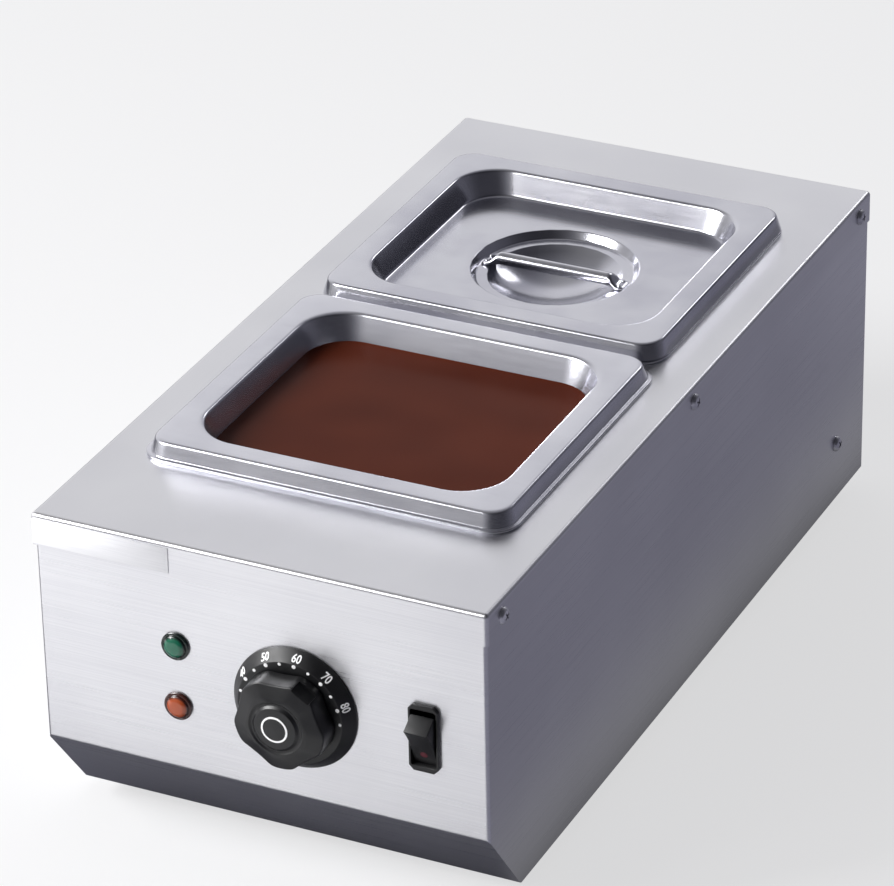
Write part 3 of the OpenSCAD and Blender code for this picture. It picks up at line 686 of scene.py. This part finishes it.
@dataclass
class Studio:
    """Camera at the photograph's viewing angle, a pale floor and soft light."""

    place: tuple[float, float, float] = (0.8702, -1.8204, 1.2137)
    azimuth: float = 25.948
    elevation: float = 28.655
    roll: float = -1.18
    lens: float = 197.8
    floor_side: float = 12.0
    floor_colour: str = "#f4f4f5"
    # Dark greys painted into the floor's reflection as shade
    floor_near: str = "#4a4a54"
    floor_far: str = "#55555e"
    floor_right: str = "#b0b0bb"
    # Steps where the floor's reflection gets painted shade, near, far and at the right: axis, first and
    # last place
    floor_zones: tuple[tuple[str, float, float], ...] = (
        ("Y", -0.285, -0.25), ("Y", -0.7, -1.1), ("X", 0.09, 0.17))
    floor_white: float = 0.7
    own_colour: str = "#f8f8f9"
    # Grey that the floor glows at the right in reflections: a painted reflection on the housing's side
    side_grey: str = "#7c7b8a"
    side_share: float = 0.7
    # Steps of the room along each axis of a ray: axis, first and last place, both values
    room_zones: tuple[tuple[str, float, float, float, float], ...] = (
        ("X", -0.5, 0.4, 0.0, 1.0), ("Y", -0.3, 0.65, 0.42, 1.0), ("Z", 0.58, 0.75, 1.0, 0.5))
    room_colours: tuple[tuple[float, str], ...] = ((0.0, "#f3f3f5"), (0.5, "#b0b0b8"), (1.0, "#606069"))
    lights: tuple[SoftBox, ...] = (
        SoftBox("key", (-1.55, -1.15, 1.3), 1.1, 64.0),
        SoftBox("front", (-0.85, -1.75, 1.3), 0.35, 2.5),
        SoftBox("edge", (0.35, 2.2, 1.5), 0.5, 3.0))

    def add_camera(self) -> None:
        """Add the camera, set by its angles round the object."""
        a, e, r = (math.radians(v) for v in (self.azimuth, self.elevation, self.roll))
        back = Vector((math.sin(a) * math.cos(e), -math.cos(a) * math.cos(e), math.sin(e)))
        right = Vector((math.cos(a), math.sin(a), 0.0))
        side = right * math.cos(r) + back.cross(right) * math.sin(r)
        up = back.cross(side)
        data = bpy.data.cameras.new("camera")
        data.lens = self.lens
        data.sensor_width = 36.0
        data.clip_start, data.clip_end = 0.05, 30.0
        camera = add_object("camera", data)
        axes = Matrix((side, up, back)).transposed().to_4x4()
        camera.matrix_world = Matrix.Translation(self.place) @ axes
        bpy.context.scene.camera = camera

    def add_floor(self) -> None:
        """Add the wide pale floor, whose reflection has painted shade: grey at the right, dark close in
        front and far in front.
        """
        deselect()
        bpy.ops.mesh.primitive_plane_add(size=self.floor_side, location=(0.0, 0.0, 0.0))
        floor = bpy.context.object
        floor.name = "floor"
        material, tree, shader = new_material("matt_white_floor")
        coords = add_node(tree, "ShaderNodeTexCoord")
        split = add_node(tree, "ShaderNodeSeparateXYZ", None, Vector=coords.outputs["Object"])
        ray = add_node(tree, "ShaderNodeLightPath")
        # Painted shade seen only in reflections: the floor's colour darkens close in front of the
        # housing, far in front and at the right
        shade_near, shade_far, right = (
            calc(tree, "MULTIPLY", fade(tree, split.outputs[axis], low, high),
                 ray.outputs["Is Glossy Ray"]) for axis, low, high in self.floor_zones)
        colour = ramp(tree, shade_near, ((0.0, self.floor_colour), (1.0, self.floor_near)))
        for zone, dark in ((shade_far, self.floor_far), (right, self.floor_right)):
            blend = add_node(tree, "ShaderNodeMix", {"data_type": "RGBA"}, i0=zone, i6=colour,
                             i7=srgb(dark))
            colour = blend.outputs[2]
        feed(tree, shader, Base_Color=colour, Roughness=0.9, Specular_IOR_Level=0.1)
        # To the camera the floor is partly white by itself, so that the shadow stays light, and
        # at the right it glows a painted grey that the housing's side mirrors, a painted reflection
        own = ramp(tree, right, ((0.0, self.own_colour), (1.0, self.side_grey)))
        white = add_node(tree, "ShaderNodeEmission", None, Color=own, Strength=1.0)
        seen = calc(tree, "MULTIPLY", ray.outputs["Is Camera Ray"], self.floor_white)
        share = calc(tree, "MULTIPLY_ADD", right, self.side_share, seen)
        mix = add_node(tree, "ShaderNodeMixShader", None, i0=share, i1=shader.outputs["BSDF"],
                       i2=white.outputs[0])
        feed(tree, tree.nodes["Material Output"], Surface=mix.outputs[0])
        dress(floor, material)

    def add_world(self) -> None:
        """Room that is white at the left and behind, greyer in front and dark grey at the right."""
        world = bpy.data.worlds.new("studio_room")
        bpy.context.scene.world = world
        world.use_nodes = True
        tree = world.node_tree
        tree.nodes.clear()
        coords = add_node(tree, "ShaderNodeTexCoord")
        split = add_node(tree, "ShaderNodeSeparateXYZ", None, Vector=coords.outputs["Generated"])
        across, along, above = (
            fade(tree, split.outputs[axis], *zone) for axis, *zone in self.room_zones)
        lit = add_node(tree, "ShaderNodeBackground", None, Color=ramp(tree, across, self.room_colours),
                       Strength=calc(tree, "MULTIPLY", along, above))
        add_node(tree, "ShaderNodeOutputWorld", None, Surface=lit.outputs[0])

    def build(self) -> None:
        """Add the whole studio."""
        self.add_camera()
        self.add_floor()
        self.add_world()
        for light in self.lights:
            light.build()
        bpy.context.scene.view_settings.view_transform = "Standard"
        log.info("studio ready")


@dataclass
class Rim:
    """Rounded rectangle that pans and lid are drawn on, in millimetres from the deck's centre line.

    A spot on a section is its inset, its height above the deck, its corner radius and its share
    of the growth that the front rim has sideways and lengthways.
    """

    width: float = 176.0
    depth: float = 162.0
    centre_y: float = 0.0
    deck: float = 164.0
    grow: tuple[float, float] = (0.0, 0.0)
    arc_steps: int = 12
    side_steps: int = 6

    def ring(self, inset: float, z: float, corner: float, share: float = 0.0) -> Ring:
        """Points of the outline at one spot of a section, all the way round."""
        half_w = self.width / 2 - inset + share * self.grow[0]
        half_d = self.depth / 2 - inset + share * self.grow[1]
        points = []
        for c in range(4):
            sx, sy = (1 if c in (0, 3) else -1), (1 if c < 2 else -1)
            mid = Vector((sx * (half_w - corner), sy * (half_d - corner)))
            for i in range(self.arc_steps + 1):
                a = math.radians(90 * (c + i / self.arc_steps))
                points.append(mid + corner * Vector((math.cos(a), math.sin(a))))
        full = []
        for k, here in enumerate(points):
            full.append(here)
            if k % (self.arc_steps + 1) == self.arc_steps:
                after = points[(k + 1) % len(points)]
                full += [here.lerp(after, i / self.side_steps) for i in range(1, self.side_steps)]
        return [Vector((p.x, p.y + self.centre_y, z + self.deck)) * MM for p in full]

    def disc(self, radius: float, z: float) -> Ring:
        """Points of a circle with the outline's number of points and directions."""
        inset, corner = 20.0, 19.0
        base = self.ring(inset, z, corner)
        middle = Vector((0.0, self.centre_y * MM, base[0].z))
        return [(p - middle).normalized() * radius * MM + middle for p in base]


@dataclass
class Pan:
    """Deep-drawn pan with a flared, hemmed rim."""

    name: str
    body: Body
    rim: Rim
    rim_h: float = 8.6
    deep: float = 100.0
    sheet: float = 1.0

    @property
    def floor(self) -> float:
        """Height of the underside of the pan's floor."""
        return self.rim_h - self.deep

    def build(self, palette: Palette) -> None:
        """Loft the pan as one closed sheet, up its outside, round the hem and down inside."""
        t, floor = self.sheet, self.floor
        line = round_path(
            [(42.0, floor, 8.0, 0), (24 - t, floor, 17 + t, 0), (19.2 - t, -7.0, 19.5 + t, 0),
             (18 - t, -5.3, 20.5 + t, 0), (14.2 - t, self.rim_h - t, 24.2, 0),
             (4.6 + t * 0.7, self.rim_h - t, 9.6, 1), (1.9 + t, 1.4, 10.8, 1), (1.9 + t, 0.0, 10.8, 1),
             (0.0, 0.0, 13.0, 1), (0.0, 1.6, 13.0, 1), (1.9, 1.6, 11.6, 1), (4.2, self.rim_h, 9.8, 1),
             (13.4, self.rim_h, 23.8, 0), (18.0, -5.0, 20.5, 0), (19.2, -6.6, 19.5, 0),
             (24.0, floor + t, 17.0, 0), (42.0, floor + t, 8.0, 0)],
            [0, 13, 2, 2, 0.8, 0.8, 0, 0, 0.75, 0.75, 0.7, 1.7, 1.9, 2, 2, 12, 0])
        piece = loft(f"{self.name}_sheet", [self.rim.ring(*spot) for spot in line])
        palette.mount(piece, self.body, PAN_STEEL, [self.name])


@dataclass
class Chocolate:
    """Melted chocolate that fills a pan, with a meniscus and slow waves."""

    pan: Pan
    level: float = -4.0
    gap: float = 0.1
    inset: float = 17.66
    corner: float = 20.6
    wave: float = 0.25
    waves_per_m: tuple[float, float] = (20.0, 26.0)
    creep_h: float = 0.3
    creep_w: float = 1.2
    half_mouth: float = 75.0

    def surface(self, share: float) -> Ring:
        """Ring of the surface, drawn in to a share of the mouth."""
        rim = self.pan.rim
        edge = rim.ring(self.inset + self.gap, self.level, self.corner)
        middle = Vector((0.0, rim.centre_y * MM, edge[0].z))
        across, along = self.waves_per_m
        ring = []
        for end in edge:
            spot = middle.lerp(end, share)
            creep = self.creep_h * math.exp(-(1 - share) * self.half_mouth / self.creep_w)
            # The waves die out at the wall, where the film creeps up
            swell = noise.noise(Vector((spot.x * across, spot.y * along, 0.3)))
            swell *= self.wave * (1 - share**8)
            ring.append(spot + Vector((0, 0, (creep + swell) * MM)))
        return ring

    def build(self, palette: Palette) -> None:
        """Loft the body of the chocolate and its surface."""
        g = self.gap
        floor = self.pan.floor + self.pan.sheet + g
        wall = round_path([(42.0, floor, 8.0), (24 + g, floor, 17 - g), (19.4 + g, -6.9, 19.3),
                           (18.0 + g, -5.0, 20.4)], [0, 12, 2, 0])
        # Close rings along the wall for the meniscus, then wider ones for the waves
        shares = [1 - 0.012 * k for k in range(1, 5)] + [0.95 - 0.05 * k for k in range(1, 19)]
        rings = [self.pan.rim.ring(i, z, c) for i, z, c in wall]
        rings += [self.surface(s) for s in (1.0, *shares)]
        piece = loft("chocolate_filling", rings)
        palette.mount(piece, Body.FRONT_PAN, CHOCOLATE, ["melted_chocolate"], 60.0)


@dataclass
class Lid:
    """Pressed lid with a band, a sloping dish, a sunk panel and a bowl under a bar handle."""

    rim: Rim
    top: float = 9.6
    low: float = -2.4
    sheet: float = 1.0
    step_r: float = 40.5
    ledge_r: float = 38.0
    ledge: float = -6.2
    bowl_r: float = 32.5
    bowl_deep: float = 11.0
    lip: float = 3.2
    bowl_rings: int = 11
    rod_r: float = 3.2
    bar_sides: int = 32

    def bowl(self, grow: float) -> list[tuple[float, float]]:
        """Radius and height down the round step and the bowl, grown outwards."""
        ball = (self.bowl_r**2 + self.bowl_deep**2) / (2 * self.bowl_deep)
        rim_path = round_path(
            [(self.step_r + 4 + grow, self.low - grow), (self.step_r + grow * 0.7, self.low - grow),
             (self.ledge_r + grow * 0.7, self.ledge - grow),
             (self.bowl_r + grow * 0.4, self.ledge - grow),
             (self.bowl_r - self.lip, self.ledge - grow - 2.0)], [0, 0.9, 1.3, 1.1, 0])
        path = list(rim_path[:-1])
        for k in range(self.bowl_rings):
            r = (self.bowl_r - self.lip) * (1 - k / (self.bowl_rings + 0.2)) + grow * 0.4
            path.append((r, self.ledge - self.bowl_deep + ball - math.sqrt(ball**2 - r**2) - grow))
        return path

    def build(self, palette: Palette) -> None:
        """Loft the lid and build its handle."""
        t, top, low = self.sheet, self.top, self.low
        over = round_path([(0.2, 2.0, 12.8), (2.7, top, 10.3), (14.6, top, 22.8), (19.5, low, 19.6),
                           (24.0, low, 17.0)], [0, 1.7, 1.9, 2.2, 0])
        under = round_path([(24.0, low - t, 17.0), (19.7 - t, low - t, 20.4),
                            (14.9 - t, top - t, 23.6), (3.2 + t, top - t, 9.6), (0.2 + t, 2.0, 11.8)],
                           [0, 1.6, 1.2, 0.9, 0])
        rings = [self.rim.disc(r, z) for r, z in reversed(self.bowl(t))]
        rings += [self.rim.ring(i, z, c) for i, z, c in under + over]
        rings += [self.rim.disc(r, z) for r, z in self.bowl(0.0)]
        piece = loft("lid_sheet", rings)
        palette.mount(piece, Body.LID, SHADED_LID_STEEL, ["rear_lid"])
        self.build_handle(palette)

    def section(self, x: float, half_y: float, half_z: float, z: float, square: float) -> Ring:
        """One section of the bar: a circle where square is 1, squarer the smaller it is."""
        ring = []
        for k in range(self.bar_sides):
            a = 2 * math.pi * k / self.bar_sides
            c, s = math.cos(a), math.sin(a)
            ring.append(point(x, self.rim.centre_y + math.copysign(abs(c) ** square, c) * half_y,
                              self.rim.deck + z + math.copysign(abs(s) ** square, s) * half_z))
        return ring

    def build_handle(self, palette: Palette) -> None:
        """Loft the bar from pad to pad, with a weld bead at each corner of the pads."""
        rod = self.ledge + self.rod_r
        # Sections as distance from the middle, half width, half height, height and squareness
        half = [(27.0, self.rod_r, self.rod_r, rod, 1.0), (28.2, self.rod_r, self.rod_r, rod, 1.0),
                (29.6, 3.5, 2.9, self.ledge + 2.9, 0.85), (31.2, 4.1, 2.0, self.ledge + 2.0, 0.7),
                (32.8, 4.5, 1.2, self.ledge + 1.2, 0.55), (34.4, 4.6, 0.9, self.ledge + 0.9, 0.45),
                (36.2, 4.4, 0.85, self.ledge + 0.85, 0.45), (36.9, 3.9, 0.55, self.ledge + 0.6, 0.5)]
        rings = [self.section(-x, *rest) for x, *rest in reversed(half)]
        rings += [self.section(x, *rest) for x, *rest in half]
        bar = loft("bar", rings)
        beads = []
        for sx in (-1, 1):
            for sy in (-1, 1):
                dot = turned("bead", [(0.9, 0.0), (0.8, 0.5), (0.45, 0.75), (0.1, 0.85)], 16)
                beads.append(move(dot, shift(sx * 34.6, self.rim.centre_y + sy * 2.6,
                                             self.rim.deck + self.ledge + 1.7)))
        piece = join("lid_bar", [bar, *beads])
        palette.mount(piece, Body.LID, BAR_STEEL, ["lid_handle"], 50.0)


@dataclass
class Thermostat:
    """Dial plate with its printed scale, and the knob that points at it."""

    x: float = 17.1
    z: float = 95.8
    dial_r: float = 29.8
    face_r: float = 25.2
    thick: float = 6.2
    knob_r: float = 22.2
    knob_low: float = 7.1
    knob_high: float = 21.2
    flute_r: float = 80.0
    flute_deep: float = 2.0
    lobes: int = 5
    lobe_half: float = 6.0
    lobe_span: float = 0.6
    ease_passes: int = 8
    dome_r: float = 62.0
    mark: tuple[float, float] = (5.5, 6.35)
    pointer: float = 33.3
    dot_circle: float = 24.3
    zero_angle: float = 6.8
    degree_step: float = 3.31
    tens: tuple[int, ...] = (40, 50, 60, 70, 80)
    fives: tuple[int, ...] = (35, 45, 55, 65, 75, 85)
    print_size: float = 5.6
    print_place: float = 0.42
    print_rise: float = 0.09
    print_bold: float = 0.11
    print_narrow: float = 0.78
    knob_sides: int = 240

    def place(self, turn: float = 0.0) -> Matrix:
        """Matrix from the dial's own frame to the front wall, with a clockwise turn."""
        return on_front(self.x, self.z, turn)

    def angle(self, degrees_c: float) -> float:
        """Clockwise angle of a temperature on the scale, where 60 stands near the top."""
        return self.zero_angle + self.degree_step * (degrees_c - 60)

    def build_dial(self, palette: Palette) -> None:
        """Turn the dial plate, hollow behind, with a hidden band of its back left open."""
        face, inside = self.thick, self.thick - 0.7
        profile = round_path(
            [(20.0, inside), (20.0, 0.0), (self.dial_r, 0.0), (self.dial_r, 1.0), (self.face_r, face),
             (7.0, face), (7.0, inside), (19.0, inside)], [0, 0, 0.15, 0.4, 0.9, 0.2, 0, 0], 4)
        dial = turned("dial_disc", profile, 128, closed=False)
        move(dial, self.place())
        palette.mount(dial, Body.HOUSING, DIAL_BLACK, ["dial_plate"])

    def numeral(self, value: int) -> Piece:
        """Set one plain number on the tapered rim, upright along its radius."""
        deselect()
        bpy.ops.object.text_add()
        text = bpy.context.object
        text.data.body = str(value)
        text.data.align_x, text.data.align_y = "CENTER", "CENTER"
        text.data.size = self.print_size * MM
        text.data.extrude = self.print_rise * MM
        text.data.offset = self.print_bold * MM
        text.data.resolution_u = 4
        pick(text)
        bpy.ops.object.convert(target="MESH")
        number = bpy.context.object
        drop, run = self.thick - 1.0, self.dial_r - self.face_r
        middle = shift(0.0, self.face_r + run * self.print_place, self.thick - drop * self.print_place)
        tilt = rotation(-math.degrees(math.atan2(drop, run)), "X")
        narrow = Matrix.Diagonal((self.print_narrow, 1.0, 1.0, 1.0))
        return move(number, self.place(self.angle(value)) @ middle @ tilt @ narrow)

    def build_scale(self, palette: Palette) -> None:
        """Print the numbers and dots, as thin raised ink."""
        marks = [self.numeral(value) for value in self.tens]
        spot = shift(0.0, self.dot_circle, self.thick)
        for values, radius in ((self.tens, 0.95), (self.fives, 0.75)):
            for value in values:
                dot = turned("dot", [(radius, -0.05), (radius, 0.06), (radius * 0.8, 0.1)], 20)
                marks.append(move(dot, self.place(self.angle(value)) @ spot))
        palette.mount(join("dial_scale", marks), Body.HOUSING, PRINT_WHITE)

    def flutes(self) -> list[float]:
        """How deep the five wide flutes bite at each angle, with their edges eased."""
        count = self.knob_sides
        reach = self.knob_r + self.flute_r - self.flute_deep
        pitch = 360 / self.lobes
        depths = []
        for k in range(count):
            a = 360 * k / count - 90
            off = (a - pitch / 2) % pitch
            phi = math.radians(min(off, pitch - off))
            under = self.flute_r**2 - (reach * math.sin(phi)) ** 2
            edge = reach * math.cos(phi) - math.sqrt(under) if under > 0 else self.knob_r
            # The lobe that points at the scale is broader than the others
            lobe = abs(math.radians((a + 180) % 360 - 180))
            if lobe < self.lobe_span:
                edge = max(edge, self.lobe_half / max(math.sin(lobe), 0.01))
            depths.append(max(0.0, self.knob_r - edge))
        for _ in range(self.ease_passes):
            depths = [(depths[k - 1] + 2 * depths[k] + depths[(k + 1) % count]) / 4
                      for k in range(count)]
        return depths

    def dome(self, radius: float) -> float:
        """Height of the knob's domed face at a radius."""
        return self.knob_high - self.dome_r + math.sqrt(self.dome_r**2 - radius**2)

    def build_knob(self, palette: Palette) -> None:
        """Loft the knob with a dished face and cut the pocket in its pointing lobe."""
        low, r = self.knob_low, self.knob_r
        line = round_path(
            [(0.5, low + 6.0), (r - 6.0, low + 6.0), (r - 6.0, low), (r, low), (r - 0.3, self.dome(r)),
             (15.0, self.dome(15.0)), (13.1, self.dome(13.1)), (11.6, self.dome(11.6) - 1.2),
             (9.9, self.dome(9.9)), (0.5, self.dome(0.5))],
            [0, 0.5, 0.2, 0.4, 1.1, 6.0, 0.9, 1.3, 0.9, 0], 6)
        step = 2 * math.pi / self.knob_sides
        depths = self.flutes()
        rings = []
        for rad, z in line:
            # The flutes fade out towards the face
            share = min(1.0, max(0.0, (rad - 12.5) / (r - 16.5)))
            radii = [rad - depth * share for depth in depths]
            rings.append([point(q * math.cos(step * k), q * math.sin(step * k), z)
                          for k, q in enumerate(radii)])
        knob = loft("knob_shell", rings)
        cutter = box((9.8, 10.0, 20.0), shift(0.0, r - 1.6, low + 3.6) @ rotation(4, "X")
                     @ shift(0.0, 5.0, 10.0))
        bevel(cutter, 0.4, 2)
        cut(knob, cutter)
        move(knob, self.place(self.pointer))
        palette.mount(knob, Body.KNOB, KNOB_BLACK, ["temperature_knob"], 40.0)

    def build_mark(self, palette: Palette) -> None:
        """Print the ring on the knob's face, left open where it is sunk in the knob."""
        inner, outer = self.mark
        rise = 0.05
        profile = [(inner, self.dome(inner) - 0.2), (inner, self.dome(inner) + rise),
                   (outer, self.dome(outer) + rise), (outer, self.dome(outer) - 0.2)]
        ring = turned("knob_ring", profile, closed=False)
        move(ring, self.place())
        palette.mount(ring, Body.KNOB, PRINT_WHITE)

    def build(self, palette: Palette) -> None:
        """Build the dial, its scale, the knob and its mark."""
        self.build_dial(palette)
        self.build_scale(palette)
        self.build_knob(palette)
        self.build_mark(palette)


@dataclass
class Switch:
    """Snap-in rocker switch."""

    x: float = 79.0
    z: float = 95.8
    width: float = 14.1
    height: float = 33.0
    proud: float = 2.0
    rocker_w: float = 11.2
    dish_r: float = 62.0
    dish_steps: int = 12
    top: tuple[float, float] = (9.2, 10.2)
    end: tuple[float, float] = (-12.9, 4.3)
    pivot_in: float = 2.0
    tilt: float = 12.0
    box_deep: float = 22.1
    well_deep: float = 9.5
    dot_step: int = 8

    def frame_outline(self, width: float, height: float, c: float) -> list[tuple[float, float]]:
        """Rectangle whose corners are cut by c."""
        x, y = width / 2, height / 2
        return [(x - c, -y), (x, c - y), (x, y - c), (x - c, y), (c - x, y), (-x, y - c), (-x, c - y),
                (c - x, -y)]

    def build(self, palette: Palette) -> None:
        """Build the frame, the box behind it and the rocker with its dot."""
        place = on_front(self.x, self.z)
        # Width, height, cut corner and level, from the back of the box to the floor of its well
        sections = (
            (12.8, 27.8, 0.4, -self.box_deep), (12.8, 27.8, 0.4, 0.0),
            (self.width, self.height, 2.2, 0.0), (self.width, self.height, 2.2, self.proud),
            (12.2, 28.4, 0.8, self.proud), (11.8, 27.4, 0.3, self.proud - 1.4),
            (11.8, 27.4, 0.3, -self.well_deep), (11.6, 27.2, 0.3, -self.well_deep))
        housing = loft("switch_frame", [outline_ring(self.frame_outline(*size), z)
                                        for *size, z in sections])
        bevel(housing, 0.15, 2)
        move(housing, place)
        palette.mount(housing, Body.HOUSING, SWITCH_BLACK, ["switch_housing"])
        self.build_rocker(place, palette)

    def build_rocker(self, place: Matrix, palette: Palette) -> None:
        """Extrude the rocker's side view: short upper face, ridge and a long dished lower face."""
        first, last = Vector(self.top), Vector(self.end)
        middle, chord = (first + last) / 2, last - first
        out = Vector((chord.y, -chord.x)).normalized()
        centre = middle + out * math.sqrt(self.dish_r**2 - (chord.length / 2) ** 2)
        dish = []
        for k in range(1, self.dish_steps):
            spot = middle + chord * (k / self.dish_steps - 0.5)
            dish.append(tuple(centre + (spot - centre).normalized() * self.dish_r))
        side = [(12.4, 1.6), self.top, *dish, self.end, (-13.2, 2.5), (-6.0, -2.5), (6.0, -2.5)]
        half = self.rocker_w / 2
        rocker = loft("rocker_cap", [[point(x, y, z) for y, z in side] for x in (-half, half)])
        bevel(rocker, 0.4, 3, 40.0)
        pin = move(turned("pin", [(1.5, -5.9), (1.5, 5.9)], 24), rotation(90, "Y"))
        lean = shift(0, 0, -self.pivot_in) @ rotation(self.tilt, "X")
        whole = join("rocker_cap", [rocker, pin])
        move(whole, place @ lean)
        palette.mount(whole, Body.ROCKER, SWITCH_BLACK, ["switch_rocker"], 40.0)
        dot = turned("rocker_dot", [(1.75, -0.1), (1.75, 0.06), (1.5, 0.1)], 28)
        spot = Vector(dish[self.dot_step])
        normal = (centre - spot).normalized()
        facing = rotation(math.degrees(math.atan2(-normal.x, normal.y)), "X")
        move(dot, place @ lean @ shift(0, *spot) @ facing)
        palette.mount(dot, Body.ROCKER, PRINT_RED)


@dataclass
class PilotLamp:
    """Pilot lamp lens, named as its node: a flange, a groove and a shallow dome."""

    name: str
    z: float
    deep: str
    bright: str
    x: float = -41.0
    flange_d: float = 13.6

    def build(self, palette: Palette) -> None:
        """Turn the lens and dress it."""
        r = self.flange_d / 2
        profile = round_path(
            [(0.5, -4.0), (4.0, -4.0), (4.0, 0.0), (r, 0.0), (r, 1.1), (r - 0.7, 1.5), (r - 1.1, 1.15),
             (r - 1.5, 1.9), (3.4, 3.05), (0.3, 3.3)],
            [0, 0.2, 0, 0.2, 0.5, 0.4, 0.3, 0.8, 3.0, 0], 4)
        lens = turned(f"{self.name}_dome", profile, 64)
        move(lens, on_front(self.x, self.z))
        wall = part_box("body_shell")[0].y
        finish = LampLens(f"{self.name}_polycarbonate", self.deep, self.bright,
                          (self.x * MM, wall, self.z * MM))
        palette.mount(lens, Body.HOUSING, finish, [self.name], 50.0)


@dataclass
class SideScrews:
    """Domed cross-head screws on both sides, modelled once for each length and copied."""

    head_d: float = 8.0
    head_h: float = 2.35
    cover_y: tuple[float, ...] = (-208.0, 0.0, 208.0)
    cover_z: float = 156.25
    low_y: float = 185.4
    low_z: float = 41.2
    slot_w: float = 0.9

    def master(self, shank: float) -> Piece:
        """Turn one screw and cut its cross recess."""
        r, h = self.head_d / 2, self.head_h
        profile = round_path(
            [(0.3, -shank), (1.9, -shank), (1.9, 0.0), (r - 0.1, 0.0), (r, 0.5), (r * 0.78, h * 0.78),
             (r * 0.38, h * 0.98), (0.2, h)], [0, 0.3, 0, 0.1, 0.3, 1.6, 1.5, 0], 4)
        screw = turned("screw", profile, 40)
        for turn in (0, 90):
            cut(screw, box((r, self.slot_w, h * 0.9), shift(0, 0, h) @ rotation(turn, "Z")))
        return screw

    def build(self, palette: Palette) -> None:
        """Copy the screw to its places on the skirt and on the walls under it."""
        for name, places, face, shank in (
                ("cover_screws", [(y, self.cover_z) for y in self.cover_y], 110.0, 8.0),
                ("back_panel_screws", [(self.low_y, self.low_z)], 108.8, 7.0)):
            master = self.master(shank)
            copies = []
            for side in (-1, 1):
                for n, (y, z) in enumerate(places):
                    # Each cross stands at its own angle
                    spin = rotation(20 + 31 * n + 12 * side, "Z")
                    copies.append(copy_of(master, on_side(side, y, z, face) @ spin))
            bpy.data.objects.remove(master)
            screws = join(f"{name}_set", copies)
            palette.mount(screws, Body.HOUSING, SCREW_STEEL, [name], 40.0)


@dataclass
class LabelPlate:
    """Bare thin plate on the left of the front skirt."""

    left: float = -109.2
    right: float = -42.0
    low: float = 149.3
    high: float = 161.8
    thick: float = 0.4

    def build(self, palette: Palette) -> None:
        """Extrude the plate and round its edges."""
        x0, x1, z0, z1 = self.left, self.right, self.low, self.high
        corners = [(x0, z0), (x1, z0), (x1, z1), (x0, z1)]
        plate = loft("label_plate", [outline_ring(corners, z) for z in (0.0, self.thick)])
        bevel(plate, 0.15, 2)
        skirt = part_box("top_cover")[0].y
        move(plate, Matrix.Translation((0, skirt, 0)) @ rotation(90, "X"))
        palette.mount(plate, Body.HOUSING, LABEL_METAL)


@dataclass
class Housing:
    """Nodes of the frame that keep their shape and get their finish here."""

    finishes: tuple[tuple[Finish, str], ...] = (
        (HOUSING_STEEL, "body_shell back_panel"),
        (DECK_STEEL, "top_cover"),
        (GALVANISED, "base_plate thermostat_body"),
        (SCREW_STEEL, "base_screws foot_screws thermostat_screws thermostat_shaft lamp_nuts "
                      "cutout_screws terminal_screws"),
        (RUBBER, "feet"),
        (WELL_STEEL, "well_tank element_clips bulb_clip"),
        (SHEATH, "heating_element"),
        (BRASS, "element_nuts earth_screw"),
        (COPPER, "thermostat_bulb capillary_tube"),
        (WIRE_COVER, "wiring_loom"),
        (TINNED, "switch_terminals"),
        (SWITCH_BODY, "lamp_bodies"),
        (CERAMIC, "thermal_cutout terminal_block"),
        (NYLON, "cable_gland gland_nut"))

    def build(self, palette: Palette) -> None:
        """Dress each node."""
        for finish, names in self.finishes:
            for name in names.split():
                dress(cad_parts[name], palette.get(finish))
                log.info("%s keeps its shape, finished as %s", name, finish.name)


def main() -> None:
    """Build the studio and the melting pot, piece by piece."""
    palette = Palette()
    Studio().build()
    # The lid's band is the highest face of the frame
    deck = CAD_HIGH.z / MM - Lid.top
    front = Rim(centre_y=-77.5, deck=deck, grow=(3.0, 2.5))
    rear = Rim(centre_y=89.5, deck=deck)
    Housing().build(palette)
    front_pan = Pan("front_pan", Body.FRONT_PAN, front)
    front_pan.build(palette)
    Pan("rear_pan", Body.REAR_PAN, rear).build(palette)
    Chocolate(front_pan).build(palette)
    Lid(rear).build(palette)
    Thermostat().build(palette)
    Switch().build(palette)
    PilotLamp("green_lens", 112.5, "#071612", "#125c45").build(palette)
    PilotLamp("amber_lens", 82.0, "#35130b", "#9c4520").build(palette)
    SideScrews().build(palette)
    LabelPlate().build(palette)
    log.info("done")


if __name__ == "__main__":
    main()
